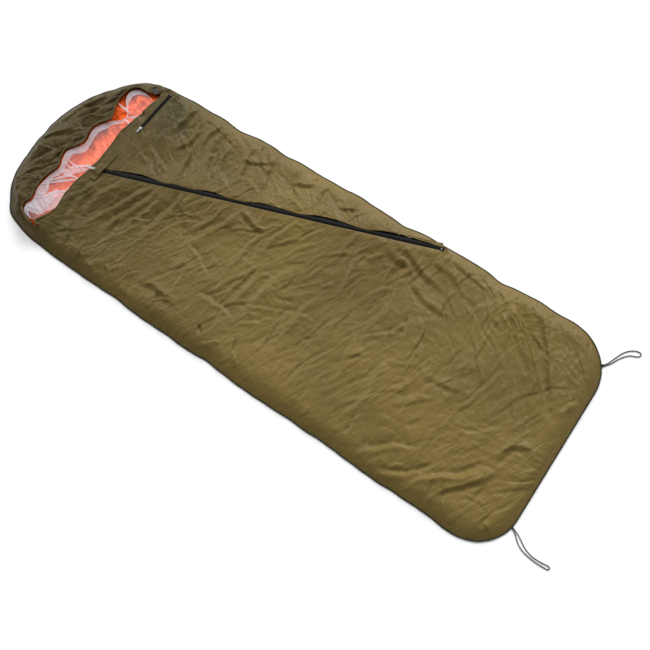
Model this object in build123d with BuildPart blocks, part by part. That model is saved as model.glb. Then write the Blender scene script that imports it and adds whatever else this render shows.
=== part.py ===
"""Bivy sack, empty and laid flat with its face opening up. Millimetres.

The origin is on the ground under the middle of the sack: +Y runs to the head, +X to the
sleeper's right when they lie on their back seen from above, and +Z up.
"""
from build123d import *
from dataclasses import dataclass
from math import asin, cos, degrees, hypot, pi, radians, sin, tan
import os

# ---- overall sizes -------------------------------------------------------------------
LENGTH = 2300.0            # crown of the hood to the foot edge
FOOT_WIDTH = 902.0         # between the side lines at the foot edge, before its corners are rounded
SHOULDER_WIDTH = 836.0     # between the side lines at the hood's shoulders
FOOT_CORNER = 200.0        # radius of the foot corners in plan
HOOD_RISE = 165.0          # how far the crown stands past the ends of its arc
HOOD_CORNER = 300.0        # radius that blends the sides into the crown
LOFT = 50.0                # height of the empty sack with the air left in it
EDGE_ROUND = 14.0          # rounding between the top and the side wall

# ---- fabric layers -------------------------------------------------------------------
SHEET = 1.6                # outer fabric with its insulation, pressed
LINING = 1.0               # lining fabric
LINING_GAP = 0.3           # air between the outer wall and the lining
LINING_DROP = 1.6          # how far the top lining hangs below the outer fabric
NET = 0.8                  # mosquito net with its folds pressed
NET_DROP = 1.6             # depth of the tape between the lining and the net
NET_OVERLAP = 12.0         # how far the net runs past the face opening
NET_HEM_WIDTH = 9.0

# ---- face opening and collar ---------------------------------------------------------
COLLAR_Y = 876.0           # straight lower edge of the face opening
OPENING_LEFT = -372.0
OPENING_RIGHT = 356.0
OPENING_RISE = 140.0       # height of the hood's front edge over the collar at the middle
COLLAR_HEM_WIDTH = 12.0
COLLAR_HEM = 0.8
LOCK_ROOM = 30.0           # the collar hem stops this far short of the cord lock's corner

# ---- drawcord in the hood's hem ------------------------------------------------------
CORD_D = 3.0
CORD_HEIGHT = 4.2          # centre of the drawcord above the fabric
CHANNEL_WIDTH = 11.0
CHANNEL_EDGE = 0.5         # channel set back from the hood's front edge
CHANNEL_PLAY = 0.2
CHANNEL_FROM = 52.0        # degrees round the opening's arc where the cord leaves the hem
CHANNEL_TO = 131.0
KNOT_R = 3.4
# drawcord tail beyond the hem: along the cord, across it
TAIL_ROUTE = [(0.0, 0.0), (30.0, 0.0), (60.0, -0.7), (80.0, -6.0)]

# ---- cord lock -----------------------------------------------------------------------
LOCK_AT = 24.0             # middle of the lock along the tail
LOCK_WIDTH = 20.0          # along the cord
LOCK_BACK = 15.0           # barrel behind the cord
LOCK_FRONT = 13.0          # barrel ahead of the cord
LOCK_LIFT = 0.3            # gap under the barrel
LOCK_WALL = 1.6
LOCK_HOLE_PLAY = 0.8
PLUNGER_WIDTH = 12.4
PLUNGER_RIM = 0.3          # above and below the hole that the cord runs through
PLUNGER_DEPTH = CORD_D + LOCK_HOLE_PLAY + 2 * PLUNGER_RIM
PLUNGER_TRAVEL = 5.0
PLUNGER_CAP = 5.0
PLUNGER_FOOT = 4.0         # end of the plunger behind the cord
RUNNING_GAP = 0.3          # between pieces that move past each other
SPRING_WIRE = 0.6
SPRING_TURNS = 4

# ---- zips ----------------------------------------------------------------------------
ZIP_START_X = -66.0        # main zip's head end on the collar line
ZIP_END_X = 407.0
ZIP_END_Y = -415.0
TAPE = 0.8
POCKET_X = 171.0           # pocket zip's inner end
POCKET_Y = 835.0
POCKET_ZIP = 204.0


@dataclass(frozen=True)
class ZipSize:
    """One zip's widths, measured across the tape from its centre line."""
    slot: float            # half the gap between the fabric's folded edges
    tape: float            # half the tape's width
    coil: float            # width of one coil
    coil_height: float
    split: float           # gap between the two halves
    slider: float          # slider's length
    slider_width: float
    plate: float           # thickness of the slider's plates
    pull: float            # pull's length from its pivot
    pull_width: float
    neck: float            # width of the pull between the slider's cheeks


MAIN = ZipSize(10.0, 14.0, 2.2, 2.2, 1.4, 20.0, 13.0, 1.6, 27.0, 8.0, 5.6)
SMALL = ZipSize(6.0, 9.0, 1.8, 1.8, 1.4, 14.0, 10.0, 1.3, 20.0, 6.0, 4.4)
STOP = 3.0                 # length of an end stop
STOP_AT = 0.5              # its distance from the tape's end
SLIDER_PLAY = 0.4          # slider over tape and coil
PIVOT_IN = 3.4             # pull's pivot behind the slider's front edge
PIN_R = 0.7
PULL_BORE_PLAY = 0.3
PULL = 1.6                 # pull's thickness
END_PATCH = 10.0

# ---- inside pocket -------------------------------------------------------------------
POCKET_DROP = 140.0        # how far the pocket hangs below its zip
POCKET_ROOM = 7.0
POCKET_FABRIC = 0.8
POCKET_MARGIN = 6.0

# ---- closure tab over the zip's head end ----------------------------------------------
TAB_LEFT = -102.0
TAB_HINGE_X = 33.0
TAB_SEWN = 12.0            # sewn end beyond the hinge line
TAB_TOP_Y = 861.0
TAB_WIDTH = 31.0
TAB = 1.6
TAB_BASE = 0.8             # sewn end, under the tab's hinge
TAB_LIFT = TAB_BASE + RUNNING_GAP
TAB_ARCH = 7.6             # room under the arch for the slider and its pull
TAB_ARCH_FROM = -72.0
TAB_ARCH_TO = -38.0
TAB_RAMP = 15.0
PATCH = 1.0
PATCH_LENGTH = 14.0
PATCH_MARGIN = 1.0

# ---- tie-out loops at the foot --------------------------------------------------------
LOOP_D = 3.5
SLEEVE = 14.0
SLEEVE_WIDTH = 11.0
SLEEVE_HEIGHT = 4.6
LOOP_Z = 2.2
RIGHT_LOOP_AT = -58.0      # degrees round the right foot corner
RIGHT_LOOP_TO = -40.0      # direction that the loop leaves in
LEFT_LOOP_AT = -109.5
LEFT_LOOP_TO = -110.0
# each loop from its sleeve: along the sleeve, across it
RIGHT_LOOP = [(0, 2.4), (16, 2.4), (36, 10), (58, 18), (80, 25), (103, 28), (126, 24), (142, 15), (148, 3),
              (136, -4), (121, 2), (104, 11), (82, 11.5), (58, 8), (36, 1), (16, -2.4), (0, -2.4)]
LEFT_LOOP = [(0, 2.4), (16, 2.4), (38, 0), (60, -6), (82, -10), (106, -8.5), (128, -2), (148, 7), (164, 17),
             (174, 17), (174, 7), (160, 1), (142, -7), (120, -14), (96, -20), (72, -22), (50, -18),
             (32, -10), (14, -2.4), (0, -2.4)]

# ---- worked out ----------------------------------------------------------------------
CROWN_Y = LENGTH / 2
FOOT_Y = -LENGTH / 2
INNER_TOP = LOFT - SHEET                       # underside of the outer top fabric
LINING_TOP = INNER_TOP - LINING_DROP
LINING_UNDER = LINING_TOP - LINING
NET_TOP = LINING_UNDER - NET_DROP
TAPE_UNDER = INNER_TOP - TAPE
OPENING_MIDDLE = (OPENING_LEFT + OPENING_RIGHT) / 2
HALF_OPENING = (OPENING_RIGHT - OPENING_LEFT) / 2
OPENING_R = (HALF_OPENING ** 2 + OPENING_RISE ** 2) / (2 * OPENING_RISE)
ARC_Y = COLLAR_Y + OPENING_RISE - OPENING_R    # centre of the opening's arc
CORD_Z = LOFT + CORD_HEIGHT
CORD_R = OPENING_R + CHANNEL_EDGE + CHANNEL_WIDTH / 2
COLLAR_CUT = Plane.XZ.offset(-COLLAR_Y)        # its normal points to the foot

ZIP_RUN = (ZIP_END_X - ZIP_START_X, ZIP_END_Y - COLLAR_Y)
ZIP_LENGTH = hypot(*ZIP_RUN)
MAIN_PLACE = Plane(origin=(ZIP_START_X, COLLAR_Y, 0), x_dir=(*ZIP_RUN, 0), z_dir=(0, 0, 1))
POCKET_PLACE = Plane(origin=(POCKET_X, POCKET_Y, 0), x_dir=(1, 0, 0), z_dir=(0, 0, 1))

TAIL_ANGLE = radians(CHANNEL_FROM)
TAIL_PLACE = Plane(
    origin=(OPENING_MIDDLE + CORD_R * cos(TAIL_ANGLE), ARC_Y + CORD_R * sin(TAIL_ANGLE), 0),
    x_dir=(sin(TAIL_ANGLE), -cos(TAIL_ANGLE), 0), z_dir=(0, 0, 1))

os.makedirs("parts", exist_ok=True)


def keep(name, piece):
    """Label a finished piece and write it."""
    piece.label = name
    export_step(piece, f"parts/{name}.step")


# ---- the sack's fabric -----------------------------------------------------------------
def plan(inset=0.0):
    """Outline of the sack seen from above, drawn in by the inset."""
    shoulder = (SHOULDER_WIDTH / 2, CROWN_Y - HOOD_RISE)
    foot = (FOOT_WIDTH / 2, FOOT_Y)
    with BuildSketch() as outline:
        with BuildLine():
            Polyline(shoulder, foot, (-foot[0], foot[1]), (-shoulder[0], shoulder[1]))
            ThreePointArc((-shoulder[0], shoulder[1]), (0, CROWN_Y), shoulder)
        make_face()
        fillet(outline.vertices().group_by(Axis.Y)[0], FOOT_CORNER)
        fillet(outline.vertices().group_by(Axis.Y)[-1], HOOD_CORNER)
        if inset:
            offset(amount=-inset)
    return outline.sketch


def pillow(inset, bottom, top, rounding):
    """The sack's plan raised between two heights, with its top edge rounded."""
    with BuildPart() as body:
        with BuildSketch(Plane.XY.offset(bottom)):
            add(plan(inset))
        extrude(amount=top - bottom)
        fillet(body.faces().sort_by(Axis.Z)[-1].edges(), rounding)
    return body.part


def face_opening(growth=0.0):
    """The face opening seen from above: straight at the collar, curved at the hood."""
    left, right = (OPENING_LEFT, COLLAR_Y), (OPENING_RIGHT, COLLAR_Y)
    with BuildSketch() as outline:
        with BuildLine():
            Line(left, right)
            ThreePointArc(right, (OPENING_MIDDLE, COLLAR_Y + OPENING_RISE), left)
        make_face()
        if growth:
            offset(amount=growth)
    return outline.sketch


def zip_slot(place, length, size, over=0.0):
    """The strip left open for a zip, seen from above, running past its head end by over."""
    with BuildSketch(place) as strip:
        with Locations(((length - over) / 2, 0)):
            Rectangle(length + over, 2 * size.slot)
    return strip.sketch


def shell(outer, inner):
    """Wall between two pillows."""
    with BuildPart() as wall:
        add(outer)
        add(inner, mode=Mode.SUBTRACT)
    return wall.part


def prism(sketch, bottom, top):
    """A sketch's shape raised between two heights."""
    with BuildPart() as block:
        with BuildSketch(Plane.XY.offset(bottom)):
            add(sketch)
        extrude(amount=top - bottom)
    return block.part


with BuildPart() as bottom_panel:
    with BuildSketch():
        add(plan())
    extrude(amount=SHEET)
keep("bottom_panel", bottom_panel.part)

LINING_INSET = SHEET + LINING_GAP
with BuildPart() as floor_lining:
    with BuildSketch(Plane.XY.offset(SHEET)):
        add(plan(LINING_INSET + LINING + LINING_GAP))
    extrude(amount=LINING)
keep("floor_lining", floor_lining.part)

OUTER_WALL = shell(pillow(0, SHEET, LOFT, EDGE_ROUND),
                   pillow(SHEET, SHEET, INNER_TOP, EDGE_ROUND - SHEET))
LINING_WALL = shell(pillow(LINING_INSET, SHEET, LINING_TOP, EDGE_ROUND - LINING_INSET),
                    pillow(LINING_INSET + LINING, SHEET, LINING_UNDER, EDGE_ROUND - LINING_INSET - LINING))
MAIN_SLOT = zip_slot(MAIN_PLACE, ZIP_LENGTH, MAIN, over=4 * MAIN.slot)
POCKET_SLOT = zip_slot(POCKET_PLACE, POCKET_ZIP, SMALL)

with BuildPart() as body_top_panel:
    add(OUTER_WALL)
    split(bisect_by=COLLAR_CUT, keep=Keep.TOP)
    add(prism(MAIN_SLOT, LINING_UNDER, LOFT), mode=Mode.SUBTRACT)
    add(prism(POCKET_SLOT, LINING_UNDER, LOFT), mode=Mode.SUBTRACT)
keep("body_top_panel", body_top_panel.part)

with BuildPart() as hood_panel:
    add(OUTER_WALL)
    split(bisect_by=COLLAR_CUT, keep=Keep.BOTTOM)
    add(prism(face_opening(), LINING_UNDER, LOFT), mode=Mode.SUBTRACT)
keep("hood_panel", hood_panel.part)

# ---- inside pocket, its mouth under the pocket zip ----------------------------------------
POCKET_BAG_X = POCKET_X + POCKET_ZIP / 2
POCKET_BAG_TOP = POCKET_Y + SMALL.tape + 2 * POCKET_FABRIC
POCKET_BAG_Y = POCKET_BAG_TOP - POCKET_DROP / 2
POCKET_BAG_WIDTH = POCKET_ZIP + 2 * POCKET_MARGIN
POCKET_UNDER = INNER_TOP - POCKET_ROOM

with BuildPart() as top_lining:
    add(LINING_WALL)
    split(bisect_by=COLLAR_CUT, keep=Keep.TOP)
    add(prism(MAIN_SLOT, LINING_UNDER, LINING_TOP), mode=Mode.SUBTRACT)
    with BuildSketch(Plane.XY.offset(LINING_UNDER)):
        with Locations((POCKET_BAG_X, POCKET_BAG_Y)):
            Rectangle(POCKET_BAG_WIDTH + 2 * LINING_GAP, POCKET_DROP + 2 * LINING_GAP)
    extrude(amount=LINING, mode=Mode.SUBTRACT)
keep("top_lining", top_lining.part)

with BuildPart() as hood_lining:
    add(LINING_WALL)
    split(bisect_by=COLLAR_CUT, keep=Keep.BOTTOM)
    add(prism(face_opening(), LINING_UNDER, LINING_TOP), mode=Mode.SUBTRACT)
keep("hood_lining", hood_lining.part)

with BuildPart() as pocket_bag:
    with BuildSketch(Plane.XY.offset(POCKET_UNDER)):
        with Locations((POCKET_BAG_X, POCKET_BAG_Y)):
            Rectangle(POCKET_BAG_WIDTH, POCKET_DROP)
    extrude(amount=POCKET_ROOM)
    with BuildSketch(Plane.XY.offset(POCKET_UNDER + POCKET_FABRIC)):
        with Locations((POCKET_BAG_X, POCKET_BAG_Y)):
            Rectangle(POCKET_BAG_WIDTH - 2 * POCKET_FABRIC, POCKET_DROP - 2 * POCKET_FABRIC)
    extrude(amount=POCKET_ROOM - 2 * POCKET_FABRIC, mode=Mode.SUBTRACT)
    with BuildSketch(Plane.XY.offset(INNER_TOP - POCKET_FABRIC)):
        with Locations((POCKET_BAG_X, POCKET_Y)):
            Rectangle(POCKET_BAG_WIDTH - 2 * POCKET_FABRIC, 2 * (SMALL.tape + LINING_GAP))
    extrude(amount=POCKET_FABRIC, mode=Mode.SUBTRACT)
keep("pocket_bag", pocket_bag.part)

# ---- mosquito net across the face opening ---------------------------------------------------
with BuildPart() as mosquito_net:
    with BuildSketch(Plane.XY.offset(NET_TOP - NET)):
        add(face_opening(NET_OVERLAP))
    extrude(amount=NET)
keep("mosquito_net", mosquito_net.part)

with BuildPart() as net_hem:
    with BuildSketch(Plane.XY.offset(NET_TOP)):
        add(face_opening(NET_OVERLAP))
        add(face_opening(NET_OVERLAP - NET_HEM_WIDTH), mode=Mode.SUBTRACT)
        add(MAIN_SLOT, mode=Mode.SUBTRACT)
    extrude(amount=NET_DROP)
keep("net_hem", net_hem.part)

# ---- hems round the face opening --------------------------------------------------------------
with BuildPart() as collar_hem:
    with BuildSketch(Plane.XY.offset(LOFT)):
        with Locations(((OPENING_LEFT + OPENING_RIGHT - LOCK_ROOM) / 2, COLLAR_Y - COLLAR_HEM_WIDTH / 2)):
            Rectangle(OPENING_RIGHT - LOCK_ROOM - OPENING_LEFT, COLLAR_HEM_WIDTH)
        add(MAIN_SLOT, mode=Mode.SUBTRACT)
    extrude(amount=COLLAR_HEM)
keep("collar_hem", collar_hem.part)

ARC_AXIS = Axis((OPENING_MIDDLE, ARC_Y, 0), (0, 0, 1))
CHANNEL_SECTION = Plane(origin=(OPENING_MIDDLE, ARC_Y, 0), x_dir=(cos(TAIL_ANGLE), sin(TAIL_ANGLE), 0),
                        z_dir=(sin(TAIL_ANGLE), -cos(TAIL_ANGLE), 0))
with BuildPart() as hood_hem:
    with BuildSketch(CHANNEL_SECTION) as channel:
        with Locations((CORD_R, LOFT + CORD_HEIGHT)):
            Rectangle(CHANNEL_WIDTH, 2 * CORD_HEIGHT)
        fillet(channel.vertices().group_by(Axis.Z)[-1], CORD_HEIGHT / 2)
        with Locations((CORD_R, CORD_Z)):
            Circle(CORD_D / 2 + CHANNEL_PLAY, mode=Mode.SUBTRACT)
    revolve(axis=ARC_AXIS, revolution_arc=CHANNEL_TO - CHANNEL_FROM)
keep("hood_hem", hood_hem.part)

with BuildPart() as drawcord_in_hem:
    with BuildSketch(CHANNEL_SECTION):
        with Locations((CORD_R, CORD_Z)):
            Circle(CORD_D / 2)
    revolve(axis=ARC_AXIS, revolution_arc=CHANNEL_TO - CHANNEL_FROM)
keep("drawcord_in_hem", drawcord_in_hem.part)


# ---- free cords ---------------------------------------------------------------------------------
def cord(name, place, height, route, diameter):
    """A free cord: straight runs joined by arcs as large as the runs allow, at one height."""
    points = [place.from_local_coords((along, across, height)) for along, across in route]
    runs = [b - a for a, b in zip(points, points[1:])]
    radii = []
    for before, after in zip(runs, runs[1:]):
        turn = radians(before.get_angle(after))
        radii.append(0.45 * min(before.length, after.length) / tan(turn / 2))
    print(name, "length", round(sum(run.length for run in runs)),
          "radii", [round(radius, 1) for radius in radii])
    with BuildPart() as tube:
        with BuildLine():
            path = FilletPolyline(*points, radius=radii)
        with BuildSketch(Plane(origin=points[0], z_dir=runs[0])):
            Circle(diameter / 2)
        sweep(path=path)
    print("  swept", round(path.length), "volume / section x length",
          round(tube.part.volume / (pi * diameter ** 2 / 4 * path.length), 4))
    keep(name, tube.part)
    return points


tail = cord("drawcord_tail", TAIL_PLACE, CORD_Z, TAIL_ROUTE, CORD_D)
TAIL_END = tail[-1] - tail[-2]
with BuildPart() as drawcord_knot:
    with Locations(tail[-1]):
        Sphere(KNOT_R)
    with BuildSketch(Plane(origin=tail[-1] - TAIL_END.normalized() * 2 * KNOT_R, z_dir=TAIL_END)):
        Circle(CORD_D / 2)
    extrude(amount=2 * KNOT_R, mode=Mode.SUBTRACT)
keep("drawcord_knot", drawcord_knot.part)


# ---- cord lock: barrel, spring and plunger ---------------------------------------------------------
LOCK_HALF = CORD_HEIGHT - LOCK_LIFT
LOCK_PLACE = Plane(origin=TAIL_PLACE.from_local_coords((LOCK_AT, 0, CORD_Z)), x_dir=TAIL_PLACE.x_dir,
                   z_dir=(0, 0, 1))
ACROSS_LOCK = Plane(origin=LOCK_PLACE.origin, x_dir=LOCK_PLACE.y_dir, z_dir=LOCK_PLACE.x_dir)
CAVITY_END = LOCK_BACK - LOCK_WALL
with BuildPart() as cordlock_barrel:
    with BuildSketch(LOCK_PLACE.offset(-LOCK_HALF)):
        with Locations((0, (LOCK_FRONT - LOCK_BACK) / 2)):
            RectangleRounded(LOCK_WIDTH, LOCK_FRONT + LOCK_BACK, 4.0)
    extrude(amount=2 * LOCK_HALF)
    fillet(cordlock_barrel.faces().sort_by(Axis.Z)[-1].edges(), 2.0)
    fillet(cordlock_barrel.faces().sort_by(Axis.Z)[0].edges(), 1.0)
    with BuildSketch(LOCK_PLACE.offset(-PLUNGER_DEPTH / 2 - RUNNING_GAP)):
        with Locations((0, (LOCK_FRONT - CAVITY_END) / 2)):
            Rectangle(PLUNGER_WIDTH + 2 * RUNNING_GAP, LOCK_FRONT + CAVITY_END)
    extrude(amount=PLUNGER_DEPTH + 2 * RUNNING_GAP, mode=Mode.SUBTRACT)
    with BuildSketch(ACROSS_LOCK):
        Circle(CORD_D / 2 + LOCK_HOLE_PLAY)
    extrude(amount=LOCK_WIDTH, both=True, mode=Mode.SUBTRACT)
keep("cordlock_barrel", cordlock_barrel.part)

PINCH = CORD_D / 2 + LOCK_HOLE_PLAY / 2         # edge of the plunger's hole behind the cord
CAP_FROM = LOCK_FRONT + PLUNGER_TRAVEL + RUNNING_GAP
with BuildPart() as cordlock_plunger:
    with BuildSketch(LOCK_PLACE.offset(-PLUNGER_DEPTH / 2)):
        with Locations((0, (CAP_FROM - PLUNGER_FOOT) / 2)):
            Rectangle(PLUNGER_WIDTH, CAP_FROM + PLUNGER_FOOT)
    extrude(amount=PLUNGER_DEPTH)
    with BuildSketch(LOCK_PLACE.offset(-LOCK_HALF)):
        with Locations((0, CAP_FROM + PLUNGER_CAP / 2)):
            RectangleRounded(LOCK_WIDTH - 3.0, PLUNGER_CAP, 1.8)
    extrude(amount=2 * LOCK_HALF)
    fillet(cordlock_plunger.faces().sort_by(Axis.Z)[-1].edges(), 1.2)
    with BuildSketch(ACROSS_LOCK):
        with Locations((PLUNGER_TRAVEL / 2, 0)):
            Rectangle(2 * PINCH + PLUNGER_TRAVEL, CORD_D + LOCK_HOLE_PLAY)
    extrude(amount=LOCK_WIDTH, both=True, mode=Mode.SUBTRACT)
keep("cordlock_plunger", cordlock_plunger.part)

SPRING_ROOM = CAVITY_END - PLUNGER_FOOT
SPRING_LENGTH = SPRING_ROOM - SPRING_WIRE - 0.2
SPRING_R = PLUNGER_DEPTH / 2 - SPRING_WIRE / 2
SPRING_START = LOCK_PLACE.from_local_coords((0, -CAVITY_END + SPRING_WIRE / 2 + 0.1, 0))
with BuildPart() as cordlock_spring:
    with BuildLine():
        coil_path = Helix(pitch=SPRING_LENGTH / SPRING_TURNS, height=SPRING_LENGTH, radius=SPRING_R,
                          center=SPRING_START, direction=LOCK_PLACE.y_dir)
    with BuildSketch(Plane(origin=coil_path @ 0, z_dir=coil_path % 0)):
        Circle(SPRING_WIRE / 2)
    sweep(path=coil_path, is_frenet=True)
keep("cordlock_spring", cordlock_spring.part)


# ---- zips ---------------------------------------------------------------------------------------------
def section(place, along):
    """Plane across a zip: its x is across the tape and its y is up."""
    return Plane(origin=place.from_local_coords((along, 0, 0)), x_dir=place.y_dir, z_dir=place.x_dir)


def side_view(place, along):
    """Plane along a zip's centre line: its x is along the zip and its y is up."""
    return Plane(origin=place.from_local_coords((along, 0, 0)), x_dir=place.x_dir, z_dir=-place.y_dir)


def zip_halves(name, place, length, size):
    """Both tapes and both coils, and the stops that end them."""
    half_split = size.split / 2
    coil_end = length - STOP_AT - STOP
    for side, sign in (("left", -1), ("right", 1)):
        with BuildPart() as tape:
            with BuildSketch(place.offset(TAPE_UNDER)):
                with Locations((length / 2, sign * (size.tape + half_split) / 2)):
                    Rectangle(length, size.tape - half_split)
            extrude(amount=TAPE)
            split(bisect_by=COLLAR_CUT.offset(COLLAR_HEM), keep=Keep.TOP)
        keep(f"{name}_tape_{side}", tape.part)
        with BuildPart() as coil:
            with BuildSketch(section(place, STOP_AT + STOP)) as profile:
                with Locations((sign * (half_split + size.coil / 2), INNER_TOP + size.coil_height / 2)):
                    Rectangle(size.coil, size.coil_height)
                fillet(profile.vertices().group_by(Axis.Z)[-1], size.coil / 3)
            extrude(amount=coil_end - STOP_AT - STOP)
        keep(f"{name}_coil_{side}", coil.part)
    with BuildPart() as top_stops:
        with BuildSketch(place.offset(INNER_TOP)):
            with Locations(*[(STOP_AT + STOP / 2, sign * (half_split + size.coil / 2)) for sign in (-1, 1)]):
                Rectangle(STOP, size.coil)
        extrude(amount=size.coil_height)
    keep(f"{name}_top_stops", top_stops.part)
    with BuildPart() as bottom_stop:
        with BuildSketch(place.offset(INNER_TOP)):
            with Locations((coil_end + STOP / 2, 0)):
                Rectangle(STOP, 2 * size.coil + size.split)
        extrude(amount=size.coil_height)
    keep(f"{name}_bottom_stop", bottom_stop.part)


def zip_slider(name, place, size):
    """Slider round tape and coil, its pin, and the pull that swings on the pin."""
    half = size.slider_width / 2
    start = STOP_AT + STOP + SLIDER_PLAY
    pivot = start + PIVOT_IN
    room_under = TAPE_UNDER - SLIDER_PLAY
    room_over = INNER_TOP + size.coil_height + SLIDER_PLAY
    top = room_over + size.plate
    barrel_r = PIN_R + PULL_BORE_PLAY + 0.8
    pivot_z = top + RUNNING_GAP + barrel_r
    cheek_in = size.neck / 2 + RUNNING_GAP
    cheek = half - 1.5 - cheek_in
    with BuildPart() as slider:
        with BuildSketch(section(place, start)):
            with Locations((0, (top + INNER_TOP + SLIDER_PLAY) / 2)):
                Rectangle(2 * half, top - INNER_TOP - SLIDER_PLAY)
            with Locations((0, (room_over + INNER_TOP) / 2)):
                Rectangle(2 * (size.split / 2 + size.coil + SLIDER_PLAY), room_over - INNER_TOP,
                          mode=Mode.SUBTRACT)
            with Locations((0, room_under - size.plate / 2)):
                Rectangle(2 * half, size.plate)
        extrude(amount=size.slider)
        fillet(slider.faces().sort_by(Axis.Z)[-1].edges(), 0.6)
        with BuildSketch(section(place, start + size.slider / 4)):
            with Locations((0, (room_under + room_over) / 2)):
                Rectangle(size.split - 2 * RUNNING_GAP, room_over - room_under)
        extrude(amount=size.slider / 2)
        with BuildSketch(side_view(place, pivot)) as cheeks:
            with Locations((0, (top + pivot_z) / 2 - 0.3)):
                Rectangle(2 * barrel_r, pivot_z - top + 0.6)
            with Locations((0, pivot_z)):
                Circle(barrel_r)
                Circle(PIN_R, mode=Mode.SUBTRACT)
        extrude(amount=cheek_in + cheek, both=True)
        with BuildSketch(side_view(place, pivot)):
            with Locations((0, top + 5.0)):
                Rectangle(size.slider, 10.0)
        extrude(amount=cheek_in, both=True, mode=Mode.SUBTRACT)
    keep(f"{name}_slider", slider.part)
    with BuildPart() as pin:
        with BuildSketch(side_view(place, pivot)):
            with Locations((0, pivot_z)):
                Circle(PIN_R)
        extrude(amount=cheek_in + cheek, both=True)
    keep(f"{name}_slider_pin", pin.part)
    neck = barrel_r + 1.8
    with BuildPart() as pull:
        with BuildSketch(place.offset(pivot_z - PULL / 2)) as blade:
            with Locations((pivot - neck / 2, 0)):
                Rectangle(neck, size.neck)
            with Locations((pivot - (neck + size.pull) / 2, 0)):
                RectangleRounded(size.pull - neck, size.pull_width, size.pull_width / 3)
            with Locations((pivot - size.pull + size.pull_width * 0.7, 0)):
                SlotOverall(size.pull_width * 0.7, size.pull_width * 0.35, mode=Mode.SUBTRACT)
        extrude(amount=PULL)
        with BuildSketch(side_view(place, pivot)):
            with Locations((0, pivot_z)):
                Circle(barrel_r)
        extrude(amount=size.neck / 2, both=True)
        with BuildSketch(side_view(place, pivot)):
            with Locations((0, pivot_z)):
                Circle(PIN_R + PULL_BORE_PLAY)
        extrude(amount=size.neck, both=True, mode=Mode.SUBTRACT)
    keep(f"{name}_pull", pull.part)
    hinge = place.from_local_coords((pivot, 0, pivot_z))
    print(name, "pull pivot", tuple(round(v, 3) for v in hinge), "axis",
          tuple(round(v, 5) for v in place.y_dir), "slide", tuple(round(v, 5) for v in place.x_dir),
          "start", round(start, 2), "top", round(pivot_z + barrel_r, 2))


zip_halves("zip", MAIN_PLACE, ZIP_LENGTH, MAIN)
zip_slider("zip", MAIN_PLACE, MAIN)
zip_halves("pocket_zip", POCKET_PLACE, POCKET_ZIP, SMALL)
zip_slider("pocket_zip", POCKET_PLACE, SMALL)

with BuildPart() as zip_end_patch:
    with BuildSketch(MAIN_PLACE.offset(LOFT)):
        with Locations((ZIP_LENGTH + END_PATCH / 2, 0)):
            RectangleRounded(END_PATCH, 2 * MAIN.slot, 2.0)
    extrude(amount=PATCH)
keep("zip_end_patch", zip_end_patch.part)

# ---- closure tab: sewn at its right end, arched over the zip, hook and loop at its left end ---------------
TAB_MIDDLE_Y = TAB_TOP_Y - TAB_WIDTH / 2
TAB_LOW = LOFT + TAB_LIFT
TAB_HIGH = LOFT + TAB_ARCH
TAB_END_Z = LOFT + 2 * PATCH + RUNNING_GAP
TAB_PROFILE = Plane(origin=(0, TAB_TOP_Y, 0), x_dir=(1, 0, 0), z_dir=(0, -1, 0))
under_tab = [(TAB_HINGE_X, TAB_LOW), (TAB_ARCH_TO + TAB_RAMP, TAB_LOW), (TAB_ARCH_TO, TAB_HIGH),
             (TAB_ARCH_FROM, TAB_HIGH), (TAB_ARCH_FROM - TAB_RAMP * 0.8, TAB_END_Z), (TAB_LEFT, TAB_END_Z)]
over_tab = [(x, z + TAB) for x, z in under_tab]
with BuildPart() as closure_tab:
    with BuildSketch(TAB_PROFILE):
        with BuildLine():
            Polyline(*under_tab)
            Line(under_tab[-1], over_tab[-1])
            Polyline(*over_tab)
            ThreePointArc(under_tab[0], (TAB_HINGE_X + TAB / 2, TAB_LOW + TAB / 2), over_tab[0])
        make_face()
    extrude(amount=TAB_WIDTH)
    fillet(closure_tab.edges().filter_by(Axis.Z).group_by(Axis.X)[0], 5.0)
keep("closure_tab", closure_tab.part)

with BuildPart() as closure_tab_base:
    with BuildSketch(Plane.XY.offset(LOFT)):
        with Locations((TAB_HINGE_X + TAB_SEWN / 2, TAB_MIDDLE_Y)):
            Rectangle(TAB_SEWN, TAB_WIDTH)
    extrude(amount=TAB_BASE)
keep("closure_tab_base", closure_tab_base.part)

for patch_name, patch_z in (("tab_loop_patch", LOFT), ("tab_hook_patch", LOFT + PATCH + RUNNING_GAP)):
    with BuildPart() as patch:
        with BuildSketch(Plane.XY.offset(patch_z)):
            with Locations((TAB_LEFT + PATCH_MARGIN + PATCH_LENGTH / 2, TAB_MIDDLE_Y)):
                RectangleRounded(PATCH_LENGTH, TAB_WIDTH - 4 * PATCH_MARGIN, 3.5)
        extrude(amount=PATCH)
    keep(patch_name, patch.part)


# ---- tie-out loops at the foot corners ------------------------------------------------------------------
def foot_corner(sign, angle):
    """Point on a rounded foot corner at an angle from +X, sign -1 for the left corner."""
    slope = (SHOULDER_WIDTH - FOOT_WIDTH) / 2 / (LENGTH - HOOD_RISE)
    centre_x = FOOT_WIDTH / 2 + slope * FOOT_CORNER - FOOT_CORNER * hypot(1, slope)
    return (sign * centre_x + FOOT_CORNER * cos(radians(angle)),
            FOOT_Y + FOOT_CORNER + FOOT_CORNER * sin(radians(angle)))


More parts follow.
